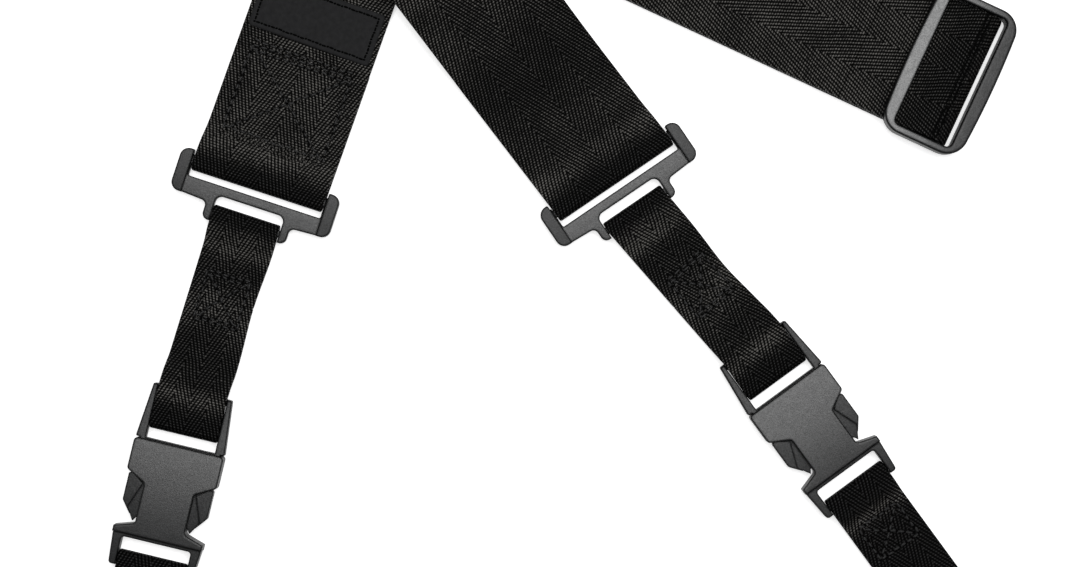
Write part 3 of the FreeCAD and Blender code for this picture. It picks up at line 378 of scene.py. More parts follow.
def roll(middle, axis, incoming, low, high, outer, width):
    """Half a turn upwards round an axis that lies askew, and its upper end line."""
    cosine = incoming.dot(axis)
    half = width / 2 / math.sqrt(1 - cosine ** 2)
    creep = creep_of(axis, incoming, low, high)
    outward, along = left_of(axis), axis
    if outward.dot(incoming) < 0:
        outward, along = outward * -1, axis * -1
    left = Vector((0, 0, outer)).cross(incoming)
    sign = math.copysign(1, left.dot(along))
    radius = (high - low) / 2
    phi = np.radians(np.linspace(0, 180, 17))[:, None]
    t = columns(width)
    slide = creep.dot(along) * phi / math.pi + sign * t * half
    spoke = np.cos(phi) * -UP + np.sin(phi) * np.array(outward)
    points = np.array(middle) + UP * ((low + high) / 2) + radius * spoke[:, None]
    points = points + slide[..., None] * np.array(along)
    normals = np.repeat(spoke[:, None] * -outer, len(t), 1)
    across = np.repeat((t * width / 2)[None, :], len(phi), 0)
    forward = radius * phi * incoming.dot(outward) + slide * incoming.dot(along)
    return Grid(points, normals, np.dstack([across, forward])), (middle + creep, axis * half)


def joined(grids, start=0.0):
    """Stretches one after another, with the cloth's pattern running through."""
    points, normals, cloth = [], [], []
    at = start
    for i, grid in enumerate(grids):
        middle = grid.cloth.shape[1] // 2
        pattern = grid.cloth.copy()
        pattern[..., 1] += at - pattern[0, middle, 1]
        at = pattern[-1, middle, 1]
        skip = 1 if i else 0
        points.append(grid.points[skip:])
        normals.append(grid.normals[skip:])
        cloth.append(pattern[skip:])
    return Grid(np.concatenate(points), np.concatenate(normals), np.concatenate(cloth)), at


# MATERIALS

# Colours along a ramp.
# Black yarn, with painted shade in the gaps between yarns and painted highlights on their tops.
YARN = [(0.0, (0.0008, 0.0008, 0.0008)), (0.26, (0.0022, 0.0021, 0.0020)),
        (0.55, (0.0165, 0.0158, 0.0147)), (1.0, (0.104, 0.100, 0.092))]
THREAD = [(0.0, (0.0018, 0.0018, 0.0019)), (1.0, (0.019, 0.019, 0.019))]
PIT = [(0.4, (0.0008, 0.0008, 0.0008)), (0.7, (0.003, 0.003, 0.003))]
SATIN = [(0.55, (0.0065, 0.0065, 0.0068)), (1.0, (0.0155, 0.0155, 0.0162))]
ACETAL = [(0.22, (0.0022, 0.0022, 0.0023)), (0.36, (0.0085, 0.0088, 0.0090)),
          (0.64, (0.0190, 0.0195, 0.0200))]
NICKEL = [(0.3, (0.50, 0.49, 0.47)), (0.7, (0.66, 0.65, 0.62))]

RIB_PITCH = 1.34  # between two ribs of the weave, across the webbing
PICK_PITCH = 0.93  # between two cross threads, along it
RIB_SLOPE = 0.42  # how far a rib moves across per unit along
TWIST_PITCH = 0.62  # between two turns of a sewing thread
WARP_PITCH, WEFT_PITCH = 0.34, 0.30  # of the label's satin
PALE, GLOW = 0.86, 0.56  # the floor's grey, and its light for the camera


def material(name):
    made = bpy.data.materials.new(name)
    made.use_nodes = True
    tree = made.node_tree
    tree.nodes.clear()
    out = tree.nodes.new("ShaderNodeOutputMaterial")
    shader = tree.nodes.new("ShaderNodeBsdfPrincipled")
    tree.links.new(shader.outputs[0], out.inputs[0])
    return made, Nodes(tree), shader


class Nodes:
    """Short names for building a node tree."""

    def __init__(self, tree):
        self.tree = tree

    def put(self, socket, value):
        if isinstance(value, bpy.types.NodeSocket):
            self.tree.links.new(value, socket)
        else:
            socket.default_value = value

    def node(self, kind, output=0, **inputs):
        """The output of a new node, with inputs set by name."""
        made = self.tree.nodes.new("ShaderNode" + kind)
        for name, value in inputs.items():
            if value is not None:
                self.put(made.inputs[name], value)
        return made.outputs[output]

    def fill(self, node, *values):
        for socket, value in zip(node.inputs, values):
            self.put(socket, value)

    def math(self, operation, *values):
        node = self.tree.nodes.new("ShaderNodeMath")
        node.operation = operation
        self.fill(node, *values)
        return node.outputs[0]

    def dress(self, shader, colour, roughness, shine=None, normal=None):
        """Set the shader's sockets."""
        for name, value in (("Base Color", colour), ("Roughness", roughness),
                            ("Specular IOR Level", shine), ("Normal", normal)):
            if value is not None:
                self.put(shader.inputs[name], value)

    def add(self, first, second):
        return self.math("ADD", first, second)

    def times(self, first, *others):
        for other in others:
            first = self.math("MULTIPLY", first, other)
        return first

    def over(self, value, divisor):
        return self.math("DIVIDE", value, divisor)

    def lift(self, value, floor):
        """0 to 1 turned into `floor` to 1."""
        return self.math("MULTIPLY_ADD", value, 1 - floor, floor)

    def swing(self, value, amount):
        """0 to 1 turned into a swing of `amount` about 0."""
        return self.math("MULTIPLY_ADD", value, amount, -amount / 2)

    def wave(self, value):
        """A cosine with period 1, from 0 to 1."""
        turn = self.math("COSINE", self.times(value, 2 * math.pi))
        return self.math("MULTIPLY_ADD", turn, 0.5, 0.5)

    def noise(self, vector, scale, detail=2.0, roughness=0.5):
        return self.node("TexNoise", Vector=vector, Scale=scale, Detail=detail,
                         Roughness=roughness)

    def ramp(self, value, stops):
        node = self.tree.nodes.new("ShaderNodeValToRGB")
        points = node.color_ramp.elements
        for place_on_ramp, _ in stops[2:]:
            points.new(place_on_ramp)
        for point, (place_on_ramp, colour) in zip(points, stops):
            point.position = place_on_ramp
            point.color = (*colour, 1)
        self.put(node.inputs[0], value)
        return node.outputs[0]

    def bump(self, height, distance, strength=1.0, normal=None):
        return self.node("Bump", Strength=strength, Distance=distance, Height=height,
                         Normal=normal)

    def spread(self, value, low, high, new_low, new_high):
        """`low` to `high` turned into `new_low` to `new_high`."""
        ends = {"From Min": low, "From Max": high, "To Min": new_low, "To Max": new_high}
        return self.node("MapRange", Value=value, **ends)

    def attribute(self, name):
        node = self.tree.nodes.new("ShaderNodeAttribute")
        node.attribute_name = name
        return node.outputs["Vector"]

    def parts(self, vector):
        node = self.tree.nodes.new("ShaderNodeSeparateXYZ")
        self.put(node.inputs[0], vector)
        return node.outputs

    def surface(self):
        return self.node("TexCoord", "Object")

    def rounded(self, radius):
        """The normal with rounded edges, in world and in object axes."""
        edge = self.tree.nodes.new("ShaderNodeBevel")
        edge.samples = 6
        edge.inputs["Radius"].default_value = radius
        turned = self.tree.nodes.new("ShaderNodeVectorTransform")
        turned.vector_type = "NORMAL"
        turned.convert_from, turned.convert_to = "WORLD", "OBJECT"
        self.put(turned.inputs[0], edge.outputs[0])
        return edge.outputs[0], turned.outputs[0]


def webbing_material(name, band):
    """Herringbone nylon webbing, its ribs turning at every `band`, crushed at its seams."""
    made, n, shader = material(name)
    cloth = n.attribute("weave")
    across, along, seam = n.parts(cloth)
    wander = n.swing(n.noise(cloth, 0.35), 0.36)
    crush = n.times(n.swing(n.noise(cloth, 0.9, 3.0), 2.6), seam)
    wander = n.add(wander, crush)
    fold = n.math("PINGPONG", across, band)
    slope = n.times(along, RIB_SLOPE)
    rib = n.wave(n.over(n.add(n.add(fold, slope), wander), RIB_PITCH))
    pick = n.wave(n.over(n.add(along, wander), PICK_PITCH))
    yarn = n.times(n.math("POWER", rib, 0.62), n.lift(n.math("POWER", pick, 0.5), 0.22))
    fibre = n.noise(cloth, 5.0, 3.0, 0.7)
    patch = n.noise(cloth, 0.07, 3.0)
    speck = n.noise(cloth, 1.1, 2.0)
    height = n.add(yarn, n.times(fibre, 0.2))
    tone = n.times(yarn, n.spread(patch, 0.3, 0.7, 0.70, 1.05))
    tone = n.times(tone, n.spread(fibre, 0.25, 0.75, 0.66, 1.25))
    tone = n.times(tone, n.spread(speck, 0.32, 0.68, 0.55, 1.30))
    tone = n.times(tone, n.math("MULTIPLY_ADD", seam, -0.18, 1.0))
    # Painted shade at bars and painted sheen bands, read from the mesh, scale the yarns' colour.
    painted_shading, _, _ = n.parts(n.attribute("painted_shading"))
    n.dress(shader, n.ramp(n.times(tone, painted_shading), YARN), n.spread(yarn, 0.0, 1.0, 0.75, 0.42),
            n.spread(yarn, 0.2, 1.0, 0.02, 0.32), n.bump(height, 0.34 * MM, 0.95))
    return made


def thread_material():
    """Bonded nylon sewing thread, twisted."""
    made, n, shader = material("sewing_thread")
    across, along, _ = n.parts(n.attribute("weave"))
    twist = n.wave(n.add(n.over(along, TWIST_PITCH), n.times(across, 1.4)))
    n.dress(shader, n.ramp(twist, THREAD), n.spread(twist, 0.0, 1.0, 0.6, 0.38), 0.4,
            n.bump(twist, 0.08 * MM, 0.8))
    return made


def hole_material():
    """The dark pit where a thread goes through the cloth."""
    made, n, shader = material("needle_hole")
    lint = n.noise(n.surface(), 4000.0, 2.0)
    n.dress(shader, n.ramp(lint, PIT), 0.9, 0.03)
    return made


def label_material():
    """Flat satin-woven patch, bare."""
    made, n, shader = material("label_cloth")
    cloth = n.attribute("weave")
    across, along, _ = n.parts(cloth)
    warp = n.wave(n.over(across, WARP_PITCH))
    weft = n.wave(n.over(along, WEFT_PITCH))
    weave = n.times(n.lift(warp, 0.4), n.lift(weft, 0.5))
    blot = n.noise(cloth, 0.45, 4.0, 0.62)
    tone = n.times(n.spread(weave, 0.0, 1.0, 0.78, 1.0), n.spread(blot, 0.3, 0.7, 0.85, 1.1))
    n.dress(shader, n.ramp(tone, SATIN), n.spread(blot, 0.3, 0.7, 0.82, 0.70), 0.12,
            n.bump(weave, 0.05 * MM, 0.7))
    return made


def plastic_material(name, crown, dull_from=None, shine_ends=None):
    """Satin acetal, with painted shade on its edges and walls, and duller above `dull_from`.

    `crown` is the dome of the top faces: (point, direction, slope per mm). `shine_ends` is
    the share of the shine at the near and far ends.
    """
    made, n, shader = material(name)
    where = n.surface()
    grain = n.noise(where, 2300.0, 3.0, 0.65)
    cloud = n.noise(where, 60.0, 3.0, 0.5)
    rub = n.noise(where, 420.0, 4.0, 0.7)
    soft_edge, own_edge = n.rounded(EDGE_ROUND * MM)
    _, _, tilt = n.parts(own_edge)
    level_face = n.spread(n.math("ABSOLUTE", tilt), 0.84, 0.99, 0.0, 1.0)
    point, way, slope = crown
    x, y, high = n.parts(where)
    x = n.times(n.math("SUBTRACT", x, point.x * MM), way.x)
    y = n.times(n.math("SUBTRACT", y, point.y * MM), way.y)
    reach = n.add(x, y)
    bulge = n.times(n.times(reach, reach), -0.5 * slope / MM)
    domed = n.bump(bulge, 1.0, 1.0, soft_edge)

    tone = n.add(n.times(grain, 0.6), n.times(cloud, 0.4))
    # Painted shade: edges and walls get a darker colour than level faces.
    tone = n.times(tone, n.lift(level_face, 0.5))
    shine = n.times(n.spread(grain, 0.35, 0.65, 0.44, 0.76), n.lift(level_face, 0.14))
    if dull_from is not None:
        dull = n.spread(high, dull_from * MM, (dull_from + 0.2) * MM, 1.0, 0.48)
        shine = n.times(shine, dull)
    if shine_ends is not None:
        shine = n.times(shine, n.spread(reach, -12 * MM, 12 * MM, *shine_ends))
    n.dress(shader, n.ramp(tone, ACETAL), n.spread(rub, 0.3, 0.7, 0.35, 0.43), shine,
            n.bump(grain, 0.08 * MM, 0.8, domed))
    return made


def metal_material():
    """Nickel-plated brass with handling haze."""
    made, n, shader = material("nickel")
    haze = n.noise(n.surface(), 500.0, 4.0, 0.65)
    n.dress(shader, n.ramp(haze, NICKEL), n.spread(haze, 0.3, 0.7, 0.22, 0.38),
            normal=n.bump(haze, 0.02 * MM, 0.5))
    shader.inputs["Metallic"].default_value = 1.0
    return made


Kind = namedtuple("Kind", "slot width thick pitch cloth")
WIDE_WEB = Kind("wide_webbing", WIDE, WIDE_THICK, wide_pitch,
                webbing_material("wide_webbing", WIDE / 4))
NARROW_WEB = Kind("narrow_webbing", NARROW, NARROW_THICK, small_pitch,
                  webbing_material("narrow_webbing", NARROW / 4))
thread = thread_material()
needle_hole = hole_material()
label_cloth = label_material()
nickel = metal_material()


# MESHES

def make_mesh(name, points, faces, weave, finish):
    mesh = bpy.data.meshes.new(name)
    mesh.from_pydata((np.asarray(points) * MM).tolist(), [], faces)
    mesh.validate()
    pattern = mesh.attributes.new("weave", "FLOAT_VECTOR", "POINT")
    pattern.data.foreach_set("vector", np.asarray(weave, np.float32).ravel())
    mesh.materials.append(finish)
    for polygon in mesh.polygons:
        polygon.use_smooth = True
    made = bpy.data.objects.new(name, mesh)
    bpy.context.scene.collection.objects.link(made)
    return made


def tube(rings, around):
    """The faces of a tube of rings."""
    faces = []
    for k in range(rings - 1):
        for i in range(around):
            j = (i + 1) % around
            faces.append((k * around + i, k * around + j,
                          (k + 1) * around + j, (k + 1) * around + i))
    return faces


def distance_to(points, seams):
    """Distance in plan from each point to the nearest line."""
    nearest = np.full(points.shape[:-1], 1e3)
    flat = points[..., :2]
    for a, b in seams:
        a, b = np.array(a)[:2], np.array(b)[:2]
        along = b - a
        share = np.clip(((flat - a) @ along) / (along @ along), 0, 1)
        reach = np.linalg.norm(flat - a - share[..., None] * along, axis=-1)
        nearest = np.minimum(nearest, reach)
    return nearest


def painted_light_of(points, bars, painted_level, light_bands):
    """Painted shade and sheen; the bands are (line across, spread, how much lighter)."""
    painted_light = np.full(points.shape[:-1], float(painted_level))
    if bars:
        reach = distance_to(points, bars)
        painted_light = painted_light * (1 - BAR_SHADE * bell(reach, BAR_SHADE_REACH))
        painted_light = painted_light + BEND_SHEEN * bell(reach - BEND_SHEEN_PLACE, BEND_SHEEN_REACH)
    for line, spread, amount in light_bands:
        painted_light = painted_light + amount * bell(distance_to(points, [line]), spread)
    return painted_light


def swelling(cloth):
    """Share of the thickness: less at the selvedges and melted ends."""
    selvedge, edge_share = 0.8, 0.3
    melted, melted_share = 0.5, 0.72
    half = np.abs(cloth[..., 0]).max()
    inset = half - np.abs(cloth[..., 0])
    swell = np.sqrt(np.clip(1 - (1 - inset / selvedge) ** 2, 0, 1))
    swell = np.where(inset > selvedge, 1.0, edge_share + (1 - edge_share) * swell)
    begun = np.abs(cloth[..., 1] - cloth[:1, :, 1])
    left = np.abs(cloth[..., 1] - cloth[-1:, :, 1])
    return swell * np.where(np.minimum(begun, left) < melted, melted_share, 1.0)


def ribbon(name, grid, kind, seams, narrowing, one_sided, bars, painted_level, light_bands):
    """Closed webbing round a grid; `narrowing` is the share of its width at each row."""
    rows, cols = grid.points.shape[:2]
    middle = grid.points.copy()
    if narrowing is not None:
        still = middle.mean(1, keepdims=True)
        if one_sided:
            side = 0 if middle[:, 0, 0].mean() < middle[:, -1, 0].mean() else -1
            still = middle[:, side][:, None]
        middle = still + (middle - still) * narrowing[:, None, None]
    depth = kind.thick / 2 * swelling(grid.cloth)
    near = np.zeros((rows, cols))
    if seams:
        reach = distance_to(middle, seams)
        depth = depth - PULL * bell(reach, PULL_REACH)
        near = bell(reach, CRUSH_REACH)
    upper = middle + grid.normals * depth[..., None]
    lower = middle - grid.normals * depth[..., None]

    def both(values):
        """Values of the upper face, then of the lower one, round each row."""
        return np.concatenate([values, values[:, ::-1]], 1)

    around = 2 * cols
    faces = tube(rows, around)
    for k in (0, rows - 1):
        first, last = k * around, k * around + around - 1
        for i in range(cols - 1):
            quad = (first + i, first + i + 1, last - 1 - i, last - i)
            faces.append(quad[::-1] if k == 0 else quad)
    ring = np.concatenate([upper, lower[:, ::-1]], 1)
    weave = both(np.dstack([grid.cloth, near]))
    made = make_mesh(name, ring.reshape(-1, 3), faces, weave.reshape(-1, 3), kind.cloth)
    # Painted shade and sheen, stored on each point.
    painted_light = both(painted_light_of(middle, bars, painted_level, light_bands))
    painted_shading = made.data.attributes.new("painted_shading", "FLOAT", "POINT")
    painted_shading.data.foreach_set("value", painted_light.astype(np.float32).ravel())
    shell = bmesh.new()
    shell.from_mesh(made.data)
    bmesh.ops.recalc_face_normals(shell, faces=shell.faces)
    shell.to_mesh(made.data)
    shell.free()
    return made


# STITCHES

Style = namedtuple("Style", "length gap size stray sink cord")
BOX_STYLE = Style(2.4, 0.6, 0.8, 0.34, PULL, thread)
SLIDER_STYLE = Style(2.8, 0.35, 0.6, 0.15, PULL, needle_hole)
# The label's threads take the near-black hole material: their colour is painted thread shadow.
LABEL_STYLE = Style(1.7, 1.1, 0.7, 0.12, LABEL_DIP, needle_hole)


def stitch_shape(rings=7, around=8):
    """A short thread that dives into the cloth at both ends."""
    points, weave = [], []
    for k in range(rings + 1):
        x = math.cos(math.pi * (1 - k / rings))
        thickness = math.sqrt(max(0.0, 1 - x ** 4)) * 0.9 + 0.1
        for i in range(around):
            angle = 2 * math.pi * i / around
            dive = 0.5 * x ** 4
            points.append((x, math.cos(angle) * thickness, math.sin(angle) * thickness - dive))
            weave.append((i / around, x, 0))
    faces = tube(rings + 1, around)
    faces.append(tuple(range(around))[::-1])
    faces.append(tuple(rings * around + i for i in range(around)))
    return np.array(points), faces, np.array(weave)


STITCH = stitch_shape()
HOLE_SIDES = 8
HOLE_FACES = [tuple(range(HOLE_SIDES)), tuple(range(HOLE_SIDES, 2 * HOLE_SIDES))[::-1]]
HOLE_FACES += [quad[::-1] for quad in tube(2, HOLE_SIDES)]


def scatter(spot, seed):
    """A random number from -1 to 1 for a place on the webbing."""
    number = math.sin(spot.x * 12.9898 + spot.y * 78.233 + seed * 37.719) * 43758.5453
    return 2 * (number - math.floor(number)) - 1


def stitches(name, seams, face, facing=1, style=BOX_STYLE):
    """Rows of stitches and needle holes on a level face that looks up or down."""
    stitch_rise, hole_rise = 0.13, 0.09
    hole_size, hole_oval, hole_taper = 0.72, 0.8, 0.6
    length, gap, size, stray, sink, cord = style
    shape, shape_faces, shape_weave = STITCH
    points, faces, weave, holes = [], [], [], []
    base = 0
    for a, b in seams:
        a, b = Vector(a), Vector(b)
        total = (b - a).length
        count = max(1, round(total / (length + gap)))
        pitch = total / count
        way = (b - a) / total
        side = left_of(way)
        for i in range(count):
            centre = a + way * (pitch * (i + 0.5))
            skew = 0.35 * stray * scatter(centre, 1)
            lean = way + side * skew
            across = side - way * skew
            centre = centre + side * (stray * scatter(centre, 2))
            half = (pitch - gap) / 2 * (1 + 0.5 * stray * scatter(centre, 3))
            height = face - facing * (sink - stitch_rise + 0.2 * stray * scatter(centre, 4))
            local = (np.outer(shape[:, 0] * half, lean)
                     + np.outer(shape[:, 1] * size / 2, across)
                     + np.outer(shape[:, 2] * size / 2 * facing, UP))
            points.append(local + np.array((centre.x, centre.y, height)))
            weave.append(shape_weave * np.array((1, half, 1)) + np.array((0, pitch * i, 0)))
            faces += [tuple(base + v for v in quad) for quad in shape_faces]
            base += len(shape)

            spot = centre + lean * (pitch / 2)
            radius = size * (hole_size + 0.2 * stray * scatter(spot, 5))
            ring = [2 * math.pi * k / HOLE_SIDES * facing for k in range(HOLE_SIDES)]
            disc = np.array([(math.cos(t) * radius, math.sin(t) * radius * hole_oval, 0)
                             for t in ring])
            mouth = np.array((spot.x, spot.y, face - facing * (sink - hole_rise)))
            points += [disc + mouth, disc * hole_taper + mouth - UP * (facing * HOLE_DEPTH)]
            weave.append(np.zeros((2 * HOLE_SIDES, 3)))
            holes += range(len(faces), len(faces) + len(HOLE_FACES))
            faces += [tuple(base + v for v in quad) for quad in HOLE_FACES]
            base += 2 * HOLE_SIDES
    made = make_mesh(name, np.concatenate(points), faces, np.concatenate(weave), cord)
    made.data.materials.append(needle_hole)
    for i in holes:
        made.data.polygons[i].material_index = 1
    return made


def box_lines(centre, way, size, cross_inset=None):
    """Stitch lines of a box (width, length), maybe with a cross; `way` runs along the webbing."""
    left = left_of(way)

    def corners(inset):
        w, h = size[0] / 2 - inset, size[1] / 2 - inset
        return [centre + left * x + way * y for x, y in ((-w, -h), (w, -h), (w, h), (-w, h))]

    a, b, c, d = corners(0)
    lines = [(a, b), (b, c), (c, d), (d, a)]
    if cross_inset is not None:
        a, b, c, d = corners(cross_inset)
        lines += [(a, c), (b, d)]
    return lines


def line_across(point, way, width):
    """The line across webbing that runs along `way`."""
    half = aside(way, width)
    return (point - half, point + half)


def fasten(piece, body):
    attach(piece, body)


def punch(piece, where, radius):
    """A round hole through a piece, from above."""
    bpy.ops.mesh.primitive_cylinder_add(
        vertices=48, radius=radius * MM, depth=30 * MM, location=[n * MM for n in where])
    cutter = bpy.context.object
    hole = piece.modifiers.new("hole", "BOOLEAN")
    hole.operation, hole.object, hole.solver = "DIFFERENCE", cutter, "EXACT"
    depsgraph = bpy.context.evaluated_depsgraph_get()
    punched = bpy.data.meshes.new_from_object(piece.evaluated_get(depsgraph))
    piece.modifiers.clear()
    piece.data = punched
    bpy.data.objects.remove(cutter)


def stand_for(piece, body, node):
    """A sheet of cloth in place of a CAD node."""
    fasten(piece, body)
    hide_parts(node)


def webbing(name, body, node, kind, grid, length, eyelet=None, seams=(),
            narrowing=None, one_sided=False, bars=(), painted_level=1.0, light_bands=()):
    """A stretch of webbing in place of its solid; `eyelet` is its hole's middle."""
    piece = ribbon(name, grid, kind, seams, narrowing, one_sided, bars, painted_level, light_bands)
    if eyelet:
        punch(piece, eyelet, TAB_HOLE)
    stand_for(piece, body, node)
    return piece


def sew(name, lines, low, kind, body):
    """A seam through two layers, from above and below; `low` is the lower one's middle."""
    fasten(stitches(name, lines, low + kind.pitch + kind.thick / 2), body)
    fasten(stitches(name + "_under", lines, low - kind.thick / 2, -1), body)


# MAIN WEBBING

# Left: sewn end, turn round the loop's bar, leg, fold, and the run to the slack.
down = step(level(1) - loop_z - wide_middle, TURN_BEND, TURN_BEND)
leg_start = go(TURN_FLAT) + down
climb = step(wide_pitch, CROSS_BEND, CROSS_BEND)
leg_moves = leg_start + go(CLIMB_START - advance(leg_start)) + climb
left_bar_line = (LEFT.bar, aside(LEFT.loop_way, WIDE))
left_tail = (LEFT.bar + LEFT.up_leg * SEWN_TAIL, aside(LEFT.up_leg, WIDE))
fold_line_a = (corner_a, fold_half(fold_a, LEFT.up_leg))
roll_a, upper_a = roll(corner_a, fold_a, LEFT.up_leg, level(2), level(4), 1, WIDE)
fall = go(FALL_START) + step(level(2) - level(4), CROSS_BEND, CROSS_BEND)
left_grid, left_end = joined([
    run(left_tail, left_bar_line, [], level(0), -1),
    half_turn(LEFT.bar, LEFT.loop_way, loop_z, wide_middle, WIDE),
    run(left_bar_line, fold_line_a, leg_moves, loop_z + wide_middle, 1, (True, False)),
    roll_a,
    run(upper_a, slack_line, fall, level(4), -1, (False, True), COARSE)])

box_centre = LEFT.bar + LEFT.up_leg * LEG_BOX_PLACE
leg_box = box_lines(box_centre, LEFT.up_leg, LEG_BOX, CROSS_INSET)
box_ends = (leg_box[0], leg_box[2])
for shift in (LEFT.up_leg * LEG_ROW_GAP, LEFT.up_leg * -LEG_ROW_GAP):
    leg_box += [(a + shift, b + shift) for a, b in box_ends]
# Painted light: the left leg is painted lighter overall, with painted shade at the loop's bar.
webbing("main_webbing_left_cloth", "main_webbing", "main_webbing_left", WIDE_WEB, left_grid,
        left_end, seams=leg_box, bars=[line_across(LEFT.bar, LEFT.loop_way, WIDE)], painted_level=1.25)

# Three layers of webbing beside the tri-glide.
lift = go(SLACK_START - STEP_START)
over_moves = lift + step(wide_pitch, STEP_BEND - wide_pitch, STEP_BEND + wide_pitch)
under_moves = lift + step(wide_pitch, STEP_BEND, STEP_BEND)


def slack_grid(number, moves, outer):
    moves = moves + go(slack_length - advance(moves))
    return sweep(slack_foot, glide_way, level(number), moves, outer, WIDE)


def glide_grid(number, creep, tail, outer):
    """Up to the tri-glide's middle bar, round it, and back below."""
    first, second = GLIDE_BEND + creep, GLIDE_BEND - creep
    rise = step(glide_bar_z + wide_middle - level(2), first, second)
    flat = 0.3
    before = SLACK_END + MIDDLE_BAR - advance(rise) - flat
    radius = wide_middle + wide_pitch * (number - 2)
    moves = go(before) + rise + go(flat) + bend(radius, -180) + go(tail)
    return sweep(slack_head, glide_way, level(number), moves, outer, WIDE, 1.0)


# Right: flat, fold, leg, turn, leg, fold and flat again.
right_bar_line = (RIGHT.bar, aside(RIGHT.loop_way, WIDE))
half_b = fold_half(fold_b, glide_way)
rise_b = level(5) - level(0)


def right_half(number):
    """One layer from the slack to the loop: the flat run, the fold and the leg."""
    outer = 1 if number == 0 else -1
    start = corner_b + (mean_b - creeps_b[number]) * 0.5
    low, high = level(number), level(6 - number)
    flat = run(slack_line, (start, half_b), [], low, outer, (True, False), COARSE)
    fold, upper = roll(start, fold_b, glide_way * -1, low, high, outer, WIDE)
    if number == 1:
        height = loop_z - wide_middle
        moves = go(DRAPE_START) + step(rise_b, DRAPE_BEND, DRAPE_BEND)
    else:
        height = loop_z + wide_middle
        moves = go(TURN_FLAT) + step(level(1) - height, TURN_BEND, TURN_BEND)
        moves = moves + go(DRAPE_START - advance(moves))
        moves = moves + step(rise_b, DRAPE_BEND - wide_pitch, DRAPE_BEND + wide_pitch)
    leg = run(right_bar_line, upper, moves, height, -outer, (True, False), COARSE)
    return flat, fold, leg


flat_0, fold_0, leg_0 = right_half(0)
flat_1, fold_1, leg_1 = right_half(1)
turn_b = half_turn(RIGHT.bar, RIGHT.loop_way, loop_z, wide_middle, WIDE).other_face()

# The pattern runs through from stretch to stretch, in the webbing's own order.
upper_slack, at = joined([slack_grid(2, over_moves, -1)], left_end)
slider_turn, at = joined([glide_grid(3, -wide_pitch / 2, SLACK_END + MIDDLE_BAR, -1)], at)
lower_slack, right_start = joined([slack_grid(0, [], 1).turned()], at)
right_grid, right_end = joined([
    flat_0, fold_0, leg_0.turned(), turn_b.turned(),
    leg_1, fold_1.turned(), flat_1.turned()], right_start)
end_slack, at = joined([slack_grid(1, under_moves, 1)], right_end)
slider_end, _ = joined([glide_grid(2, wide_pitch / 2, SEWN_END, 1)], at)

# Right leg: painted shade 47 mm up the leg and painted sheen 98 mm up.
right_light_bands = [(line_across(RIGHT.bar + RIGHT.up_leg * along, RIGHT.up_leg, WIDE), 18, amount)
               for along, amount in ((47, -0.28), (98, 0.18))]
webbing("main_webbing_right_cloth", "main_webbing", "main_webbing_right", WIDE_WEB, right_grid,
        right_end - right_start, bars=[line_across(RIGHT.bar, RIGHT.loop_way, WIDE)],
        light_bands=right_light_bands)
# The slack pieces are painted lighter overall, as painted light.
for name, grid in (("upper_slack_webbing", upper_slack), ("lower_slack_webbing", lower_slack),
                   ("end_slack_webbing", end_slack)):
    piece = webbing(f"{name}_cloth", "main_webbing", name, WIDE_WEB, grid, grid.length(),
                    painted_level=1.25)
    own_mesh(piece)

# Two rows hold the running webbing flat over the middle bar.
slider_rows = [line_across(glide + glide_way * along, glide_way, WIDE - 2 * SLIDER_SEAM_INSET)
               for along in SLIDER_SEAMS]
window = line_across(glide, glide_way, WIDE)
# Painted shade darkens the webbing across the tri-glide's window; it is painted lighter overall.
for name, grid, seams in (("slider_turn_webbing", slider_turn, slider_rows),
                          ("slider_end_loop", slider_end, ())):
    webbing(f"{name}_cloth", "tri_glide", name, WIDE_WEB, grid, grid.length(), seams=seams,
            painted_level=1.25, light_bands=[(window, 14, -0.55)])
seam_face = glide_bar_z + wide_turn + wide_pitch + WIDE_THICK
fasten(stitches("slider_stitching", slider_rows, seam_face, style=SLIDER_STYLE),
       "tri_glide")

sew("left_leg_stitching", leg_box, level(0), WIDE_WEB, "main_webbing")


# LABEL

def label_spot(x, y, level_z, crowned):
    """A point of the patch, with rounded corners, and lower at its edge and seam."""
    width, height = LABEL_SIZE
    gap_x, gap_y = width / 2 - abs(x), height / 2 - abs(y)
    if gap_x < LABEL_CORNER and gap_y < LABEL_CORNER:
        dx, dy = LABEL_CORNER - gap_x, LABEL_CORNER - gap_y
        reach = max(dx, dy)
        scale = reach / math.hypot(dx, dy) if reach > 0 else 1
        x = math.copysign(width / 2 - LABEL_CORNER + dx * scale, x)
        y = math.copysign(height / 2 - LABEL_CORNER + dy * scale, y)
    if not crowned:
        return x, y, level_z
    edge = min(gap_x, gap_y)
    drop = LABEL_DROP * max(0.0, 1 - edge / LABEL_SOFT) ** 2
    return x, y, level_z - drop - LABEL_DIP * bell(edge - LABEL_SEAM, LABEL_DIP_REACH)


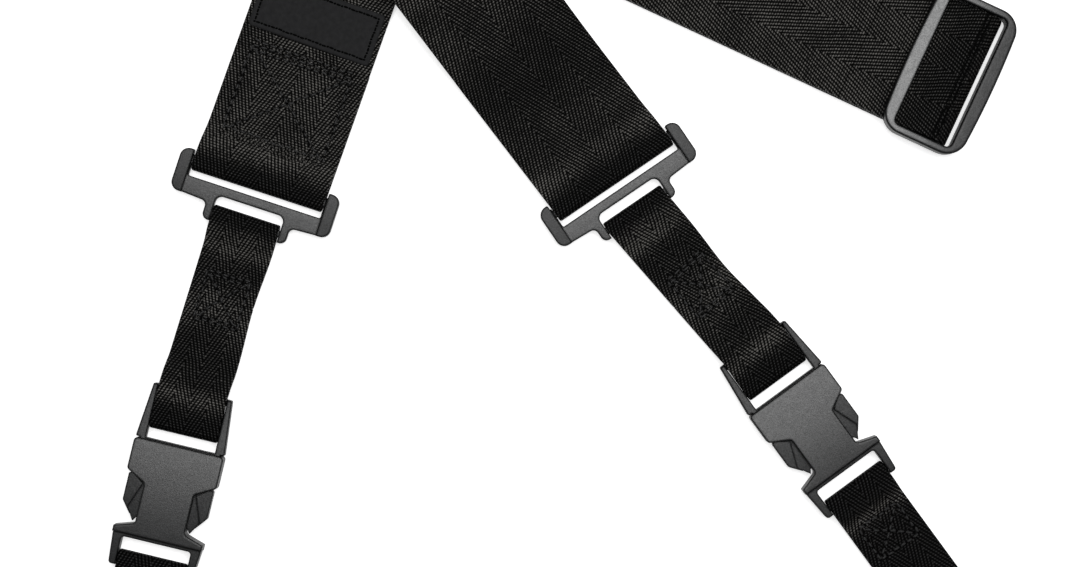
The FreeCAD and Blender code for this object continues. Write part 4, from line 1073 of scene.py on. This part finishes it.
def label():
    centre, bottom, top = middle_of("label_patch")
    way = LEFT.up_leg
    left = left_of(way)
    width, height = LABEL_SIZE
    nx, ny = LABEL_CELLS

    def crowded(share, size):
        return math.copysign(1 - (1 - abs(share)) ** LABEL_CROWDING, share) * size / 2

    spots = [label_spot(crowded(i / nx * 2 - 1, width), crowded(j / ny * 2 - 1, height), *face)
             for face in ((top, True), (bottom, False)) for j in range(ny + 1)
             for i in range(nx + 1)]
    points = [(*(centre + left * x + way * y).xy, z) for x, y, z in spots]
    weave = [(x, y, 0) for x, y, _ in spots]
    row = nx + 1
    under = row * (ny + 1)
    index = np.arange(under).reshape(ny + 1, row)
    faces = []
    for a in index[:-1, :-1].ravel().tolist():
        quad = (a, a + 1, a + row + 1, a + row)
        faces += [quad, tuple(under + b for b in quad[::-1])]
    edge = [index[0, :-1], index[:-1, -1], index[-1, :0:-1], index[:0:-1, 0]]
    edge = np.concatenate(edge).tolist()
    faces += [(b, a, under + a, under + b) for a, b in zip(edge, edge[1:] + edge[:1])]
    piece = make_mesh("label_cloth", points, faces, weave, label_cloth)
    stand_for(piece, "main_webbing", "label_patch")
    border = box_lines(centre, way, (width - 2 * LABEL_SEAM, height - 2 * LABEL_SEAM))
    seam = stitches("label_stitching", border, top, style=LABEL_STYLE)
    fasten(seam, "main_webbing")


label()


# LINKS AND GUITAR TABS

def link_grid(chain):
    """From the ends below, to the reducing loop, over the top to the buckle, and back."""
    lower, male = chain.lower_bar, chain.male_bar
    first = (lower, aside(chain.loop_way, NARROW))
    last = (male, aside(chain.buckle_way, NARROW))
    low, high = loop_z - small_middle, loop_z + small_middle
    straight = END_BAR_BACK - MOUTH - small_outer + BAR_REST / 2
    knee = (male - chain.buckle_way * straight, last[1])
    rest_low = buckle_z - END_BAR_DROP + END_BAR_RADIUS + BAR_REST_PLAY + NARROW_THICK / 2
    rise = rest_low - low
    climb = step(rise, SMALL_BEND, SMALL_BEND)
    climb_over = step(rise, SMALL_BEND - small_pitch, SMALL_BEND + small_pitch)
    onto_bar = step(buckle_z + small_middle - rest_low - small_pitch, SMALL_BEND, SMALL_BEND)
    into_slot = step(buckle_z - small_middle - rest_low, DIP_BEND, DIP_BEND)
    settle = go(LINK_FLAT) + step(low + small_pitch - high, SMALL_BEND, SMALL_BEND)
    length = (knee[0] - lower).length
    way = (knee[0] - lower).normalized()
    cut = aside(way, NARROW)
    seam = LINK_SEAM[chain.name]
    seam_near = (lower + way * (seam - LINK_GAP / 2), cut)
    seam_far = (lower + way * (seam + LINK_GAP / 2), cut)
    over = settle + go(length - LINK_LEAD - advance(settle + climb_over)) + climb_over
    under = go(length - LINK_LEAD - seam - LINK_GAP / 2 - advance(climb)) + climb
    grid, total = joined([
        run(seam_near, first, [], low, -1),
        half_turn(lower, chain.loop_way * -1, loop_z, small_middle, NARROW),
        run(first, knee, over, high, 1),
        run(knee, last, go(BAR_REST) + onto_bar, rest_low + small_pitch, 1),
        half_turn(male, chain.buckle_way, buckle_z, small_middle, NARROW).turned(),
        run(knee, last, go(BAR_REST) + into_slot, rest_low, -1).turned(),
        run(seam_far, knee, under, low, -1).turned()])
    return grid, total, way


def link(chain):
    side, lower, male = chain.name, chain.lower_bar, chain.male_bar
    grid, total, way = link_grid(chain)
    seam = LINK_SEAM[side]
    centre = lower + way * seam
    lines = box_lines(centre, way, LINK_BOX, CROSS_INSET)
    inner = box_lines(centre, way, LINK_BOX_INNER)
    lines = lines + [inner[0], inner[2]]
    # The seam and the reducing loop draw the webbing in from one selvedge.
    reach = (grid.points.mean(1) - np.array(centre))[:, :2] @ np.array(way)[:2]
    pinch = LINK_PINCH[side] * bell(reach, PINCH_REACH)
    shares = 1 - pinch - LINK_NECK * bell(reach + seam, NECK_REACH)
    # Painted sheen bands near the loop, past the seam and near the buckle; painted darker
    # overall.
    end = (male - lower).length - BEND_SHEEN_PLACE
    light_bands = [(line_across(lower + way * along, way, NARROW), spread, amount)
             for along, spread, amount in ((7, 6, 0.6), (seam + 4, 10, 0.62),
                                           (end, BEND_SHEEN_REACH, 0.32))]
    bars = [line_across(lower, chain.loop_way, NARROW),
            line_across(male, chain.buckle_way, NARROW)]
    body = f"{side}_link"
    webbing(body + "_cloth", body, body + "_webbing", NARROW_WEB, grid, total, seams=lines,
            narrowing=shares, one_sided=True, bars=bars, painted_level=0.70, light_bands=light_bands)
    sew(body + "_stitching", lines, loop_z - small_middle, NARROW_WEB, body)


def corner_share(rest):
    """How wide rounded corners leave a webbing end, `rest` before it ends."""
    short = max(0.0, TAB_RADIUS - rest)
    straight = NARROW / 2 - TAB_RADIUS
    return (straight + math.sqrt(TAB_RADIUS ** 2 - short ** 2)) / (NARROW / 2)


def tab(chain):
    side, way = chain.name, chain.buckle_way
    low, high = buckle_z - small_middle, buckle_z + small_middle
    fall_moves = go(LINK_FLAT) + step(high - low - small_pitch, SMALL_BEND, SMALL_BEND)
    moves = go(TAB_LENGTH) + bend(small_middle, 180) + fall_moves
    moves = moves + go(TAB_LENGTH - advance(fall_moves))
    far = chain.end_bar + way * TAB_LENGTH
    grid = sweep(far, way * -1, low, moves, -1, NARROW, 0.8)
    total = grid.length()
    lengths = grid.cloth[:, 0, 1] - grid.cloth[0, 0, 1]
    shares = np.array([corner_share(min(s, total - s)) for s in lengths])
    eyelet = chain.end_bar + way * (TAB_LENGTH - EYELET_INSET)
    lines = box_lines(chain.end_bar + way * TAB_BOX_PLACE, way, TAB_BOX, TAB_CROSS_INSET)
    lines += [line_across(eyelet - way * gap, way, 2 * TAB_ROW_HALF) for gap in TAB_ROWS]
    # Painted sheen just off the end bar, on yarns painted much darker overall.
    sheen_line = line_across(chain.end_bar + way * BEND_SHEEN_PLACE, way, NARROW)
    body = f"{side}_guitar_tab"
    webbing(body + "_cloth", body, body, NARROW_WEB, grid, total,
            eyelet=(eyelet.x, eyelet.y, buckle_z), seams=lines, narrowing=shares,
            bars=[line_across(chain.end_bar, way, NARROW)], painted_level=0.42,
            light_bands=[(sheen_line, BEND_SHEEN_REACH, 0.5)])
    sew(f"{side}_tab_stitching", lines, low, NARROW_WEB, body)


for chain in (LEFT, RIGHT):
    link(chain)
    tab(chain)


# MOULDINGS AND EYELETS

def moulded(name):
    """The plastic for a moulding, domed along the strap about its own middle."""
    if name == "tri_glide":
        return plastic_material(name, (glide, glide_way, GLIDE_DOME), shine_ends=GLIDE_SHINE)
    chain = LEFT if name.startswith("left") else RIGHT
    if "loop" in name:
        plate = chain.bar + chain.loop_way * LOOP_MIDDLE
        return plastic_material(name, (plate, chain.loop_way, LOOP_DOME), EAR_LEVEL)
    housing = chain.male_bar + chain.buckle_way * (MOUTH + small_outer)
    housing = housing + chain.buckle_way * HOUSING_MIDDLE
    male = name.endswith("_male") or "prong" in name
    dome = (housing, chain.buckle_way, HOUSING_DOME)
    return plastic_material(name, dome, 0 if male else None)


for name, node in frame["nodes"].items():
    if node.hide_render:
        continue
    node.data.materials.clear()
    node.data.materials.append(nickel if "eyelet" in name else moulded(name))


# FLOOR, LIGHT AND CAMERA

def floor():
    """A pale floor that looks white but for the object's shadow."""
    bpy.ops.mesh.primitive_plane_add(size=FLOOR_SIZE, location=(0, 0, FLOOR * MM))
    plane = bpy.context.object
    plane.name = "floor"
    made, n, shader = material("pale_floor")
    n.dress(shader, (PALE, PALE, PALE, 1), 0.9, 0.1)
    glow = n.node("Emission", Color=(1, 1, 1, 1), Strength=GLOW)
    rays = n.tree.nodes.new("ShaderNodeLightPath").outputs
    seen = n.math("MAXIMUM", rays["Is Camera Ray"], rays["Is Glossy Ray"])
    seen = n.math("MAXIMUM", seen, rays["Is Transmission Ray"])
    both = n.tree.nodes.new("ShaderNodeAddShader")
    mix = n.tree.nodes.new("ShaderNodeMixShader")
    n.fill(both, shader.outputs[0], glow)
    n.fill(mix, seen, shader.outputs[0], both.outputs[0])
    n.fill(n.tree.nodes["Material Output"], mix.outputs[0])
    plane.data.materials.append(made)


def overhead():
    """One large soft box that looks straight down."""
    lamp = bpy.data.lights.new("overhead", "AREA")
    lamp.shape, lamp.size, lamp.size_y, lamp.energy = "RECTANGLE", *LAMP_SIZE, LAMP_POWER
    made = bpy.data.objects.new("overhead", lamp)
    made.location = LAMP_PLACE
    bpy.context.scene.collection.objects.link(made)


def world():
    sky = bpy.data.worlds.new("studio")
    sky.use_nodes = True
    back = sky.node_tree.nodes["Background"]
    back.inputs[0].default_value = (1, 1, 1, 1)
    back.inputs[1].default_value = SKY_LEVEL
    bpy.context.scene.world = sky


def camera():
    lens = bpy.data.cameras.new("camera")
    lens.sensor_width = SENSOR
    lens.lens = SENSOR * DISTANCE / VIEW_WIDTH
    lens.clip_start, lens.clip_end = 0.01, 20
    eye = bpy.data.objects.new("camera", lens)
    eye.location = (*VIEW_CENTRE, DISTANCE + CAMERA_LIFT)
    bpy.context.scene.collection.objects.link(eye)
    bpy.context.scene.camera = eye


floor()
world()
overhead()
camera()
bpy.context.scene.view_settings.view_transform = "Standard"
